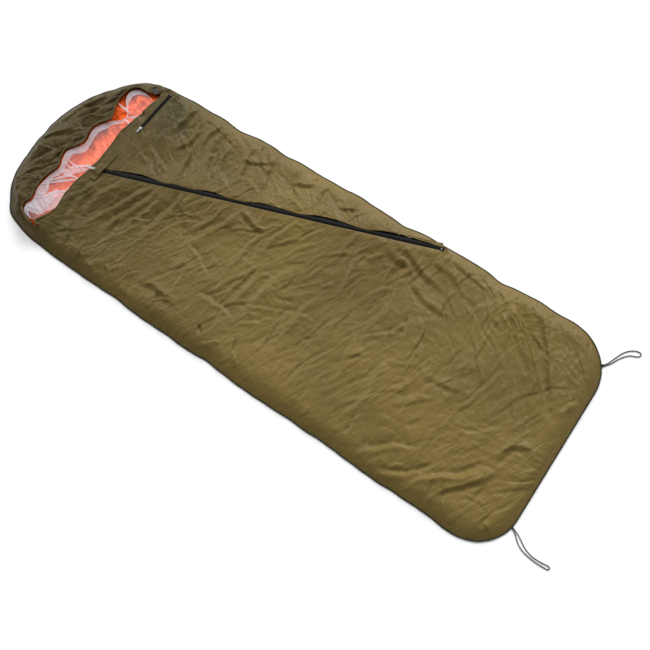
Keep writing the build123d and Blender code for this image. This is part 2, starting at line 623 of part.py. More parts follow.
for side, sign, at, to, route in (("left", -1, LEFT_LOOP_AT, LEFT_LOOP_TO, LEFT_LOOP),
                                  ("right", 1, RIGHT_LOOP_AT, RIGHT_LOOP_TO, RIGHT_LOOP)):
    base = foot_corner(sign, at)
    away = (cos(radians(to)), sin(radians(to)), 0)
    loop_place = Plane(origin=(base[0] + SLEEVE * away[0], base[1] + SLEEVE * away[1], 0), x_dir=away,
                       z_dir=(0, 0, 1))
    with BuildPart() as sleeve:
        with BuildSketch(loop_place):
            with Locations((-SLEEVE, 0)):
                Rectangle(2 * SLEEVE, SLEEVE_WIDTH)
        extrude(amount=SLEEVE_HEIGHT)
        with BuildSketch():
            add(plan())
        extrude(amount=LOFT, mode=Mode.SUBTRACT)
        fillet(sleeve.edges().filter_by(Axis(loop_place.origin, away)).group_by(Axis.Z)[-1], 1.5)
    keep(f"loop_sleeve_{side}", sleeve.part)
    cord(f"foot_loop_{side}", loop_place, LOOP_Z, route, LOOP_D)
    print(f"loop {side} place", tuple(round(v, 2) for v in loop_place.origin))

print("zip length", round(ZIP_LENGTH, 1), "opening radius", round(OPENING_R, 2),
      "half angle", round(degrees(asin(HALF_OPENING / OPENING_R)), 2))
print("lock", tuple(round(v, 3) for v in LOCK_PLACE.origin), "cord", tuple(round(v, 5) for v in LOCK_PLACE.x_dir),
      "plunger", tuple(round(v, 5) for v in LOCK_PLACE.y_dir))
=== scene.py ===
"""Bivy sack: its cloth, net, cords and zips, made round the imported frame, with their finishes.

All lengths are metres. +Y runs to the head, +X to the side where the main zip ends, +Z up.
"""
import logging
import math
from dataclasses import dataclass, replace
from enum import Enum

import bmesh
import bpy
import numpy as np
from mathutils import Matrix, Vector


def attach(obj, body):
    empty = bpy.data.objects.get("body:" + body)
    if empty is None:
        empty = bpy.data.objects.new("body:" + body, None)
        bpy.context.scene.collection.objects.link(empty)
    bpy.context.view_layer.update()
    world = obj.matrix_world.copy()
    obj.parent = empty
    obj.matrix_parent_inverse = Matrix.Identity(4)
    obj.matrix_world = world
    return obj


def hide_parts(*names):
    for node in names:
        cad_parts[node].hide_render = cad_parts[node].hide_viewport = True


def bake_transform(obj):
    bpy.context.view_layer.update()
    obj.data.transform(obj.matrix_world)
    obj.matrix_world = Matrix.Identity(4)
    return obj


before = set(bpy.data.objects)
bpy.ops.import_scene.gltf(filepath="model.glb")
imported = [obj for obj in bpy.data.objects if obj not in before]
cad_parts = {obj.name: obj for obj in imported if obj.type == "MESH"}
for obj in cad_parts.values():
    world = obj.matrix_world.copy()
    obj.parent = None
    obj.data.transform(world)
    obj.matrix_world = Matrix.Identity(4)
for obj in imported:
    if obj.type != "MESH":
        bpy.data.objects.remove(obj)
log = logging.getLogger("bivy")
Array = np.ndarray


# ---- sizes shared by the pieces ---------------------------------------------------------------------
LENGTH = 2.300
FOOT_HALF = 0.451
SHOULDER_HALF = 0.418
SHOULDER_Y = 0.985
CORNER_R = 0.200
LEFT_CORNER_R = 0.165
COLLAR_Y = 0.876
HOOD_CENTRE = (-0.008, COLLAR_Y)
SEAM_Z = 0.004
RIM = 0.046                       # width of the close mesh beside the seam
RISE = 0.070                      # width over which the cloth rises from the seam
ZIP_HEAD = np.array((-0.066, 0.876))
ZIP_FOOT = np.array((0.407, -0.415))
ZIP_LENGTH = float(np.linalg.norm(ZIP_FOOT - ZIP_HEAD))
ALONG_ZIP = (ZIP_FOOT - ZIP_HEAD) / ZIP_LENGTH
ACROSS_ZIP = np.array((-ALONG_ZIP[1], ALONG_ZIP[0]))
POCKET_ZIP_Y = 0.835
POCKET_ZIP_X = (0.171, 0.375)
TAPE_Z = 0.0480                   # middle of the zip tapes
LIP_Z = 0.0494                    # the cloth's edge beside a zip
FOOT_PATCH = (1.3749, 1.3849)     # where the patch at the zip's foot starts and ends, along the zip
TAB_Y = 0.8455                    # middle of the closure tab
TAB_BASE_X = (0.033, 0.045)       # its sewn base
TAB_GRIP_X = (-0.101, -0.087)     # its hook and loop patches
# The hood cloth's free edge round the face opening, from its right end.
HOOD_EDGE = [(0.358, 0.872), (0.350, 0.888), (0.334, 0.907), (0.332, 0.935), (0.328, 0.962), (0.303, 0.985),
             (0.247, 0.992), (0.199, 0.980), (0.150, 0.960), (0.115, 0.981), (0.069, 0.994), (0.013, 0.980),
             (-0.023, 0.992), (-0.056, 1.014), (-0.096, 1.006), (-0.137, 0.988), (-0.182, 0.999),
             (-0.228, 1.001), (-0.262, 0.994), (-0.296, 0.983), (-0.326, 0.990), (-0.350, 0.979),
             (-0.371, 0.938), (-0.376, 0.905), (-0.376, 0.872)]
# How far the collar's edge lies from its straight line, at places across.
COLLAR_WAVE = [(-0.376, 0.0), (-0.366, 0.030), (-0.352, 0.034), (-0.330, 0.022), (-0.308, 0.011),
               (-0.269, 0.004), (-0.216, 0.014), (-0.165, 0.017), (-0.128, 0.014), (-0.100, 0.009),
               (-0.072, 0.006), (-0.027, 0.002), (0.032, 0.006), (0.076, 0.010), (0.126, 0.016),
               (0.169, 0.010), (0.221, 0.003), (0.271, 0.0), (0.314, -0.005), (0.342, -0.009),
               (0.356, -0.004), (0.370, 0.0)]
# The hood's outline: degrees round the hood's centre from +X, and the reach there.
HOOD_OUTLINE = [(0, 0.4205), (6, 0.414), (13, 0.404), (20, 0.387), (28, 0.362), (37, 0.338), (48, 0.319),
                (60, 0.301), (76, 0.288), (92, 0.283), (105, 0.291), (118, 0.306), (133, 0.343), (148, 0.375),
                (156, 0.394), (166, 0.401), (174, 0.404), (180, 0.407)]


class Finish(Enum):
    """The sack's materials, by the record's slot names."""

    SHELL = "shell_fabric"
    POCKET = "pocket_fabric"
    LINING = "lining"
    NET = "net"
    TAPE = "zip_tape"
    COIL = "zip_coil"
    METAL = "zip_metal"
    WEBBING = "webbing"
    HOOK = "hook_and_loop"
    PLASTIC = "lock_plastic"
    STEEL = "spring_steel"
    DRAWCORD = "drawcord"
    LOOP_CORD = "loop_cord"
    # painted shade: the shell cloth made darker for the seam roll round the edge
    BINDING = "shell_fabric/binding"
    NET_DOUBLED = "net/doubled"
    NET_EDGE = "net/edge"

    @property
    def slot(self) -> str:
        """The record's slot: a variant's name follows it after a stroke."""
        return self.value.split("/")[0]


# ---- number fields ---------------------------------------------------------------------------------
def ease(t: Array) -> Array:
    """A smooth step: 3t^2 - 2t^3 with t kept from 0 to 1."""
    t = np.clip(t, 0.0, 1.0)
    return t * t * (3.0 - 2.0 * t)


def bell(distance: Array, width: float) -> Array:
    """A bell curve, exp(-(distance / width)^2)."""
    return np.exp(-((distance / width) ** 2))


def scatter(ix: Array, iy: Array, seed: float) -> Array:
    """A repeatable number from 0 to 1 for each lattice point: the fraction of a large sine.

    Args:
        ix: lattice column.
        iy: lattice row.
        seed: picks another set.

    Returns:
        The numbers.
    """
    return np.modf(np.abs(np.sin(ix * 127.1 + iy * 311.7 + seed * 74.7) * 43758.5453))[0]


def noise(x: Array, y: Array, seed: float = 0.0) -> Array:
    """Gradient noise, about -1 to 1: each lattice corner has a random slope, eased between corners.

    Args:
        x: first place.
        y: second place.
        seed: picks another field.

    Returns:
        The noise.
    """
    xi, yi = np.floor(x), np.floor(y)
    fx, fy = x - xi, y - yi

    def corner(dx: int, dy: int) -> Array:
        """The slope at one corner times the way to it."""
        turn = 2.0 * np.pi * scatter(xi + dx, yi + dy, seed)
        return np.cos(turn) * (fx - dx) + np.sin(turn) * (fy - dy)

    sx, sy = ease(fx), ease(fy)
    low = corner(0, 0) * (1 - sx) + corner(1, 0) * sx
    high = corner(0, 1) * (1 - sx) + corner(1, 1) * sx
    return 1.5 * (low * (1 - sy) + high * sy)


def ridges(x: Array, y: Array, direction: float, length: float, width: float, seed: float) -> Array:
    """Sharp creases that run along direction (degrees): 1 - |noise|, stretched to length by width.

    Args:
        x: across the sack.
        y: along the sack.
        direction: degrees from +X.
        length: of a crease.
        width: between creases.
        seed: picks another field.

    Returns:
        The ridges, 1 at most.
    """
    c, s = math.cos(math.radians(direction)), math.sin(math.radians(direction))
    along, across = (x * c + y * s) / length, (y * c - x * s) / width
    bend = 0.6 * noise(along * 0.8, across * 0.5, seed + 3.1)
    return 1.0 - np.abs(noise(along, across + bend, seed)) * 2.2


def smooth_line(points: list, count: int) -> Array:
    """count points on the curve through the given points (Catmull-Rom), any number of dimensions.

    Args:
        points: what it runs through.
        count: how many to give.

    Returns:
        The points, count by dimensions.
    """
    p = np.asarray(points, float)
    p = np.vstack([2 * p[0] - p[1], p, 2 * p[-1] - p[-2]])
    t = np.linspace(0, len(p) - 3, count)
    i = np.minimum(t.astype(int), len(p) - 4)
    f = (t - i)[:, None]
    a, b, c, d = p[i], p[i + 1], p[i + 2], p[i + 3]
    square = (2 * a - 5 * b + 4 * c - d) * f ** 2
    return 0.5 * (2 * b + (c - a) * f + square + (3 * b - a - 3 * c + d) * f ** 3)


def along(line: Array) -> Array:
    """The distance along a line at each of its points."""
    return np.concatenate([[0.0], np.cumsum(np.linalg.norm(np.diff(line, axis=0), axis=1))])


def spaced(line: Array, count: int) -> Array:
    """The same line with count evenly spaced points.

    Args:
        line: n points.
        count: how many to give.

    Returns:
        The points.
    """
    s = along(line)
    at = np.linspace(0, s[-1], count)
    return np.column_stack([np.interp(at, s, line[:, k]) for k in range(line.shape[1])])


def nearest(x: Array, y: Array, line: Array) -> tuple[Array, Array, Array]:
    """Distance to a line in plan, which side of it (+ left), and how far along it, from 0 to 1.

    Args:
        x: across the sack.
        y: along the sack.
        line: n by 2.

    Returns:
        Distance, side and share of the way.
    """
    best, side, place = np.full(x.shape, 9.0), np.ones(x.shape), np.zeros(x.shape)
    s = along(line)
    for k in range(len(line) - 1):
        a, step = line[k], line[k + 1] - line[k]
        size = float(step @ step) + 1e-12
        t = np.clip(((x - a[0]) * step[0] + (y - a[1]) * step[1]) / size, 0, 1)
        dx, dy = x - a[0] - t * step[0], y - a[1] - t * step[1]
        d = np.hypot(dx, dy)
        closer = d < best
        best = np.where(closer, d, best)
        side = np.where(closer, np.sign(step[0] * dy - step[1] * dx), side)
        place = np.where(closer, (s[k] + t * (s[k + 1] - s[k])) / s[-1], place)
    return best, side, place


def outside(x: Array, y: Array, middle: tuple, half: tuple) -> Array:
    """Distance outside an upright rectangle in plan, 0 within it.

    Args:
        x: across the sack.
        y: along the sack.
        middle: the rectangle's middle.
        half: half its width and half its length.

    Returns:
        The distances.
    """
    over_x, over_y = np.abs(x - middle[0]) - half[0], np.abs(y - middle[1]) - half[1]
    return np.hypot(np.maximum(over_x, 0), np.maximum(over_y, 0))


# ---- folds in the cloth --------------------------------------------------------------------------
@dataclass(frozen=True)
class Fold:
    """A fold along a bent line in plan: a ridge, steep on one side, with a hollow beside it.

    Attributes:
        line: points that the fold runs through.
        height: of the ridge; below 0 it is a crease.
        width: half the ridge's width.
        lean: -1 to 1, which side is the steep one.
    """

    line: tuple
    height: float = 0.008
    width: float = 0.014
    lean: float = 0.35

    def lift(self, x: Array, y: Array) -> Array:
        """Height added at each point: a leaning bell across the line that fades out at both ends.

        Args:
            x: across the sack.
            y: along the sack.

        Returns:
            The heights.
        """
        out = np.zeros(x.shape)
        pts = np.asarray(self.line)
        reach = 5 * self.width
        near = ((x > pts[:, 0].min() - reach) & (x < pts[:, 0].max() + reach)
                & (y > pts[:, 1].min() - reach) & (y < pts[:, 1].max() + reach))
        if not near.any():
            return out
        px, py = x[near], y[near]
        px = px + 0.007 * noise(px * 13, py * 13, 17.0) + 0.003 * noise(px * 37, py * 37, 18.0)
        py = py + 0.007 * noise(px * 13, py * 13, 19.0) + 0.003 * noise(px * 37, py * 37, 21.0)
        d, side, place = nearest(px, py, smooth_line(list(self.line), 4 * len(pts)))
        signed = d * side
        wide = self.width * np.where(signed * self.lean > 0, 1.9, 0.7)
        ridge = np.exp(-np.sqrt((signed / wide) ** 2 + 0.04) * 1.25)
        hollow = 0.35 * bell(signed + 1.5 * self.width * np.sign(self.lean or 1), 0.9 * self.width)
        fade = ease(place / 0.25) * ease((1 - place) / 0.45)
        out[near] = 1.15 * self.height * fade * (ridge - hollow)
        return out


def creases(count: int = 520, seed: int = 11) -> list[Fold]:
    """Short fine creases all over, each from a random place along the way the cloth is pulled there.

    Args:
        count: how many.
        seed: of the random numbers.

    Returns:
        One Fold for each crease.
    """
    draw = np.random.RandomState(seed)
    made = []
    for _ in range(count):
        x, y = draw.uniform(-0.42, 0.42), draw.uniform(-1.12, 1.12)
        across = (x - ZIP_HEAD[0]) * ACROSS_ZIP[0] + (y - ZIP_HEAD[1]) * ACROSS_ZIP[1]
        pull = 46.0 if across > 0 else -21.0
        foot = 46.0 * math.tanh(x / 0.16)
        share = 1 / (1 + math.exp(-(y + 0.42) / 0.14))
        turn = pull * share + foot * (1 - share)
        if y > COLLAR_Y + 0.05:
            turn = 146.0 - 55.0 * max(-x - 0.12, 0) / 0.2
        near_edge = abs(x) > 0.36
        if near_edge and y < 0.86:
            turn = draw.normal(0.0, 22.0)
        turn = math.radians(turn + draw.normal(0.0, 17.0))
        length = draw.uniform(0.05, 0.11) if near_edge else draw.uniform(0.06, 0.28) * draw.uniform(0.6, 1.2)
        bend = draw.normal(0.0, 0.10)
        line = []
        for _ in range(6):
            line.append((x, y))
            x, y = x + math.cos(turn) * length / 5, y + math.sin(turn) * length / 5
            turn += bend + draw.normal(0.0, 0.12)
        height = draw.uniform(0.0018, 0.0048) * (1 if draw.uniform() < 0.5 else -1.0)
        height *= 1.7 if near_edge else 1.0
        made.append(Fold(tuple(line), height, draw.uniform(0.0030, 0.0070), draw.choice((-0.35, 0.35))))
    return made


FOLDS = [
    # folds that fan out from the main zip towards the left side
    Fold(((0.015, 0.622), (-0.044, 0.652), (-0.134, 0.697), (-0.235, 0.739), (-0.32, 0.759)), 0.011, 0.013),
    Fold(((0.02, 0.606), (-0.059, 0.615), (-0.131, 0.64), (-0.211, 0.666), (-0.294, 0.697)), 0.012, 0.014),
    Fold(((0.02, 0.601), (-0.037, 0.583), (-0.12, 0.599), (-0.219, 0.626), (-0.289, 0.652)), 0.008, 0.011),
    Fold(((-0.03, 0.72), (-0.1, 0.76), (-0.191, 0.785), (-0.272, 0.767), (-0.335, 0.745), (-0.396, 0.70)),
         0.009),
    Fold(((-0.05, 0.80), (-0.13, 0.83), (-0.22, 0.83), (-0.30, 0.81), (-0.37, 0.77)), 0.007, 0.012),
    Fold(((0.068, 0.5), (0.015, 0.507), (-0.069, 0.524), (-0.138, 0.535), (-0.22, 0.55)), 0.010),
    Fold(((0.07, 0.49), (-0.001, 0.478), (-0.049, 0.432), (-0.07, 0.38)), 0.007, 0.010),
    Fold(((0.135, 0.279), (0.031, 0.315), (-0.07, 0.36), (-0.16, 0.39)), 0.009, 0.012),
    Fold(((0.14, 0.282), (0.103, 0.264), (0.093, 0.201), (0.103, 0.136)), 0.008, 0.009),
    Fold(((-0.105, 0.373), (-0.121, 0.32), (-0.153, 0.256), (-0.183, 0.201)), -0.006, 0.009),
    Fold(((0.21, 0.085), (0.159, 0.105), (0.085, 0.123), (-0.02, 0.13)), 0.007, 0.010),
    Fold(((-0.235, 0.236), (-0.234, 0.154), (-0.236, 0.098), (-0.267, 0.036)), -0.008, 0.010),
    Fold(((-0.332, 0.452), (-0.312, 0.363), (-0.328, 0.279), (-0.353, 0.22)), 0.008, 0.013),
    Fold(((-0.017, 0.096), (-0.095, 0.11), (-0.191, 0.116)), -0.005, 0.007),
    Fold(((0.043, -0.162), (-0.077, -0.132), (-0.188, -0.12), (-0.29, -0.11)), 0.007, 0.011),
    Fold(((-0.371, 0.657), (-0.4, 0.6), (-0.414, 0.547)), 0.007, 0.008),
    Fold(((-0.382, 0.501), (-0.398, 0.439), (-0.412, 0.378)), 0.007, 0.008),
    Fold(((0.08, -0.02), (-0.04, 0.02), (-0.16, 0.04), (-0.3, 0.03)), 0.006, 0.016),
    # beside the zip on its right
    Fold(((0.075, 0.62), (0.097, 0.655), (0.12, 0.72), (0.16, 0.78)), 0.009, 0.010),
    Fold(((0.085, 0.575), (0.137, 0.589), (0.197, 0.611), (0.24, 0.67), (0.26, 0.74)), 0.010, 0.012),
    Fold(((0.155, 0.40), (0.18, 0.427), (0.221, 0.475), (0.282, 0.496), (0.35, 0.49)), 0.009),
    Fold(((0.245, 0.10), (0.257, 0.139), (0.266, 0.197)), 0.007, 0.009),
    Fold(((0.205, 0.280), (0.233, 0.352), (0.217, 0.414)), 0.007, 0.010),
    Fold(((0.12, 0.47), (0.20, 0.52), (0.29, 0.56), (0.37, 0.55)), 0.009, 0.012),
    Fold(((0.17, 0.68), (0.25, 0.64), (0.33, 0.66), (0.38, 0.63)), 0.009, 0.009),
    Fold(((0.20, 0.72), (0.28, 0.70), (0.31, 0.655), (0.35, 0.67)), -0.007, 0.007),
    Fold(((0.30, 0.44), (0.33, 0.36), (0.38, 0.30)), 0.007, 0.010),
    Fold(((0.32, 0.22), (0.36, 0.15), (0.40, 0.11)), 0.007, 0.010),
    Fold(((0.33, 0.02), (0.36, -0.05), (0.41, -0.09)), 0.006, 0.009),
    Fold(((0.409, -0.17), (0.38, -0.20), (0.362, -0.19)), 0.005, 0.007),
    # below the zip's foot end
    Fold(((0.300, -0.225), (0.267, -0.294), (0.271, -0.335), (0.236, -0.321), (0.148, -0.349), (0.075, -0.36),
          (0.02, -0.339), (-0.066, -0.295)), -0.011, 0.013, -0.4),
    Fold(((0.28, -0.152), (0.206, -0.17), (0.102, -0.188), (0.0, -0.20)), 0.006, 0.010),
    Fold(((0.318, -0.265), (0.324, -0.316), (0.302, -0.381), (0.276, -0.463), (0.26, -0.55)), 0.009, 0.010),
    Fold(((0.25, -0.37), (0.214, -0.445), (0.193, -0.53), (0.20, -0.62)), 0.008, 0.011),
    Fold(((0.40, -0.46), (0.38, -0.54), (0.37, -0.62)), 0.007, 0.009),
    Fold(((0.345, -0.40), (0.34, -0.48), (0.31, -0.57)), 0.006, 0.009),
    # the two long folds across the right foot corner
    Fold(((0.428, -0.640), (0.372, -0.72), (0.325, -0.791), (0.25, -0.87), (0.165, -0.95), (0.085, -1.01),
          (0.04, -1.08), (0.02, -1.14)), 0.015, 0.020, -0.5),
    Fold(((0.415, -0.805), (0.357, -0.883), (0.285, -0.938), (0.196, -1.0), (0.114, -1.049), (0.06, -1.08)),
         0.011, 0.012, 0.45),
    Fold(((0.39, -0.74), (0.31, -0.84), (0.23, -0.91), (0.15, -0.975)), -0.009, 0.014, 0.3),
    # creases at the left foot corner
    Fold(((-0.40, -0.575), (-0.313, -0.666), (-0.26, -0.748)), -0.010, 0.010, 0.3),
    Fold(((-0.435, -0.65), (-0.393, -0.718), (-0.356, -0.766), (-0.306, -0.812), (-0.24, -0.845)),
         -0.011, 0.012),
    Fold(((-0.42, -0.792), (-0.382, -0.804), (-0.326, -0.854), (-0.287, -0.914), (-0.221, -0.973),
          (-0.168, -1.011)), 0.013, 0.013, -0.4),
    Fold(((-0.401, -0.872), (-0.348, -0.896), (-0.304, -0.939), (-0.23, -0.992), (-0.16, -1.04)),
         0.009, 0.010),
    Fold(((-0.19, -0.985), (-0.104, -1.001), (-0.064, -1.048), (-0.071, -1.10)), 0.011, 0.012),
    Fold(((-0.23, -0.35), (-0.208, -0.365), (-0.153, -0.35), (-0.069, -0.339)), -0.006, 0.009),
    Fold(((0.081, -0.54), (0.009, -0.584), (-0.045, -0.63)), -0.006, 0.007),
    Fold(((-0.038, -0.621), (-0.032, -0.699), (-0.01, -0.79)), 0.006, 0.008),
    Fold(((0.151, -0.85), (0.066, -0.829), (-0.03, -0.80), (-0.11, -0.79)), 0.006, 0.010),
    Fold(((0.191, -1.127), (0.151, -1.102), (0.10, -1.084)), 0.007, 0.008),
    Fold(((0.10, -0.70), (0.0, -0.74), (-0.12, -0.73)), 0.006, 0.018),
    Fold(((-0.05, -0.45), (-0.16, -0.50), (-0.27, -0.49), (-0.36, -0.44)), 0.007, 0.020),
    # the hood
    Fold(((-0.25, 1.075), (-0.163, 1.09), (-0.112, 1.057), (-0.055, 1.038), (0.039, 1.03)),
         -0.014, 0.013, 0.4),
    Fold(((-0.10, 1.12), (-0.057, 1.115), (0.002, 1.077), (0.06, 1.05)), 0.009, 0.012),
    Fold(((0.056, 1.045), (0.10, 1.055), (0.15, 1.035), (0.22, 1.03)), -0.009, 0.009),
    Fold(((-0.275, 1.09), (-0.30, 1.05), (-0.33, 1.00)), 0.010, 0.012),
    Fold(((0.12, 1.10), (0.18, 1.07), (0.25, 1.04)), 0.008, 0.011),
    Fold(((-0.20, 1.04), (-0.26, 1.03), (-0.33, 1.02), (-0.39, 0.97)), 0.010, 0.012),
    Fold(((-0.37, 1.0), (-0.40, 0.94), (-0.40, 0.88), (-0.385, 0.82)), 0.007, 0.009),
    Fold(((-0.02, 1.06), (-0.06, 1.09), (-0.12, 1.11), (-0.2, 1.11)), 0.006, 0.009),
    Fold(((0.27, 1.01), (0.32, 0.98), (0.37, 0.95)), 0.008, 0.009),
    Fold(((0.284, 1.005), (0.25, 1.006), (0.213, 1.012), (0.18, 1.035), (0.14, 1.06)), -0.009, 0.008),
    Fold(((0.069, 0.998), (0.039, 1.010), (0.011, 1.030), (-0.04, 1.045)), 0.008, 0.008),
    Fold(((0.168, 0.978), (0.145, 1.003), (0.117, 1.03), (0.092, 1.052), (0.04, 1.07)), 0.008, 0.008),
    Fold(((-0.017, 1.000), (-0.045, 1.021), (-0.078, 1.043), (-0.127, 1.061), (-0.19, 1.075)), 0.009, 0.009),
    Fold(((0.115, 1.089), (0.156, 1.063), (0.201, 1.033), (0.248, 1.02)), -0.007, 0.008),
    Fold(((0.02, 1.130), (0.06, 1.115), (0.115, 1.100), (0.18, 1.085)), 0.006, 0.009),
    # the crumpled right edge
    Fold(((0.26, 0.585), (0.31, 0.60), (0.36, 0.585), (0.415, 0.60)), 0.010, 0.010),
    Fold(((0.22, 0.56), (0.28, 0.535), (0.34, 0.54), (0.41, 0.52)), -0.009, 0.010),
    Fold(((0.20, 0.38), (0.26, 0.40), (0.33, 0.42), (0.40, 0.41)), 0.009, 0.010),
    Fold(((0.24, 0.27), (0.29, 0.31), (0.34, 0.32), (0.41, 0.345)), 0.010, 0.010),
    Fold(((0.27, 0.16), (0.31, 0.20), (0.36, 0.21), (0.41, 0.235)), -0.009, 0.010),
    Fold(((0.30, 0.06), (0.34, 0.09), (0.38, 0.09), (0.42, 0.11)), 0.009, 0.009),
    Fold(((0.34, -0.08), (0.37, -0.05), (0.42, -0.04)), 0.008, 0.008),
    Fold(((0.36, -0.30), (0.40, -0.28), (0.43, -0.29)), -0.008, 0.009),
    Fold(((0.26, 0.73), (0.32, 0.715), (0.37, 0.72), (0.42, 0.70)), 0.009, 0.009),
] + creases()


# ---- plan of the sack ----------------------------------------------------------------------------
class Plan:
    """Where the cloth lies: its outline, the face opening's edge, and its height at every point."""

    def __init__(self) -> None:
        """Works out the hood's edge once, as a fine line."""
        self.hood_line = spaced(smooth_line(HOOD_EDGE, 600), 321)

    @staticmethod
    def side(y: Array, sign: float) -> Array:
        """Half the width at y: a straight taper, rounded in at the foot corners, with a slight wave.

        Args:
            y: place along the sack.
            sign: -1 for the left edge, 1 for the right.

        Returns:
            The distances from the middle line.
        """
        taper = FOOT_HALF + (SHOULDER_HALF - FOOT_HALF) * (y + LENGTH / 2) / (SHOULDER_Y + LENGTH / 2)
        wave = (0.006 * noise(y * 5.2 + 3.0, y * 0 + 11.3 * sign, 2.0)
                + 0.003 * noise(y * 14, y * 0 + sign, 5.0))
        drawn_in = (0.53, 0.31, -0.24, -0.66) if sign > 0 else (0.05,)
        puckers = -0.009 * sum(bell(y - at, 0.05) for at in drawn_in)
        calm = ease((y + LENGTH / 2) / 0.25) * ease((1.0 - y) / 0.2)
        radius = CORNER_R if sign > 0 else LEFT_CORNER_R
        up = np.clip(y + LENGTH / 2, 0, radius)
        corner = radius - np.sqrt(np.maximum(radius ** 2 - (radius - up) ** 2, 0))
        end = HOOD_OUTLINE[0 if sign > 0 else -1][1] + sign * HOOD_CENTRE[0]
        straight = taper - corner + (wave + puckers) * calm
        return straight + (end - straight) * ease((y - 0.74) / (COLLAR_Y - 0.74))

    @staticmethod
    def hood_reach(turn: Array) -> Array:
        """From the hood's centre to its outline, at angles in radians from +X.

        Args:
            turn: the angles.

        Returns:
            The distances.
        """
        line = smooth_line(HOOD_OUTLINE, 400)
        degrees = np.degrees(turn)
        reach = np.interp(degrees, line[:, 0], line[:, 1])
        return reach + 0.003 * ease(np.sin(turn) / 0.35) * noise(turn * 6.3, turn * 0, 8.0)

    @staticmethod
    def collar_shift(x: Array, y: Array) -> Array:
        """How far the body cloth is drawn along the sack near its collar.

        Args:
            x: across the sack.
            y: along the sack.

        Returns:
            The shift towards the head.
        """
        line = smooth_line(COLLAR_WAVE, 300)
        start = np.where(x < -0.15, 0.79, 0.845)
        return np.interp(x, line[:, 0], line[:, 1]) * ease((y - start) / (COLLAR_Y - start))

    def edge_distance(self, x: Array, y: Array) -> Array:
        """How far each point is inside the outline: nearest side or foot, rounded at the foot corners.

        Args:
            x: across the sack.
            y: along the sack.

        Returns:
            The distances, below 0 outside.
        """
        body = np.minimum(y, COLLAR_Y)
        radius = np.where(x > 0, CORNER_R, LEFT_CORNER_R)
        flat = np.maximum(body + LENGTH / 2, radius)
        side = np.where(x > 0, self.side(flat - LENGTH / 2, 1.0) - x, self.side(flat - LENGTH / 2, -1.0) + x)
        foot = body + LENGTH / 2
        out_side, out_foot = np.maximum(radius - side, 0), np.maximum(radius - foot, 0)
        corner = radius - np.hypot(out_side, out_foot)
        low = np.where((out_side > 0) & (out_foot > 0), corner, np.minimum(side, foot))
        dx, dy = x - HOOD_CENTRE[0], y - HOOD_CENTRE[1]
        turn = np.arctan2(np.maximum(dy, 0), dx)
        return np.where(y > COLLAR_Y, self.hood_reach(turn) - np.hypot(dx, dy), low)

    @staticmethod
    def zip_place(x: Array, y: Array) -> tuple[Array, Array]:
        """Along the main zip from its head end, and across it (+ right)."""
        dx, dy = x - ZIP_HEAD[0], y - ZIP_HEAD[1]
        return dx * ALONG_ZIP[0] + dy * ALONG_ZIP[1], dx * ACROSS_ZIP[0] + dy * ACROSS_ZIP[1]

    def spots(self, x: Array, y: Array, spread: float) -> Array:
        """1 at the zips, the tab and the cord lock, falling to 0 over the given spread.

        Args:
            x: across the sack.
            y: along the sack.
            spread: how far it reaches.

        Returns:
            Shares from 0 to 1.
        """
        s, v = self.zip_place(x, y)
        beyond = np.maximum(np.maximum(-s, s - ZIP_LENGTH), 0)
        main = bell(np.hypot(np.maximum(np.abs(v) - 0.007, 0), beyond), spread)
        px = np.maximum(np.maximum(POCKET_ZIP_X[0] - 0.012 - x, x - POCKET_ZIP_X[1] - 0.004), 0)
        pocket = bell(np.hypot(px, np.maximum(np.abs(y - POCKET_ZIP_Y) - 0.012, 0)), spread)
        tab = bell(outside(x, y, (-0.028, 0.849), (0.085, 0.026)), spread)
        flipped = bell(outside(x, y, (0.09, 0.845), (0.07, 0.02)), spread)
        lock = bell(np.hypot(x - 0.352, y - 0.895), 0.02 + spread)
        return 1 - (1 - main) * (1 - pocket) * (1 - tab) * (1 - 0.8 * flipped) * (1 - lock)

    def calm(self, x: Array, y: Array) -> Array:
        """How much of the folds stays: all in open cloth, little beside the zips, tab and cord lock."""
        return 1 - self.spots(x, y, 0.012) * 0.93

    def crumple(self, x: Array, y: Array) -> Array:
        """Small creases over all the cloth: ridges in five directions, each in its own places, over waves.

        Args:
            x: across the sack.
            y: along the sack.

        Returns:
            The heights.
        """
        bx, by = x + 0.020 * noise(x * 6, y * 6, 61.0), y + 0.020 * noise(x * 6, y * 6, 62.0)
        out = 0.0030 * noise(bx * 7, by * 6, 1.0) - 0.0030 * np.abs(noise(bx * 10, by * 8, 4.0))
        out = out - 0.0012 * np.abs(noise(bx * 23 + 0.3 * by, by * 19, 5.0))
        for k, turn in enumerate((12.0, -28.0, 62.0, 100.0, 148.0)):
            where = ease(0.5 + 1.1 * noise(x * 4.1 + 9 * k, y * 3.7, 20.0 + k))
            fine = np.maximum(ridges(bx, by, turn, 0.11, 0.026, 31.0 + k), -0.4)
            finer = np.maximum(ridges(bx, by, turn + 17, 0.06, 0.015, 51.0 + k), -0.4)
            out = out + where * (0.0013 * fine * np.abs(fine) + 0.0008 * finer * np.abs(finer))
        return out

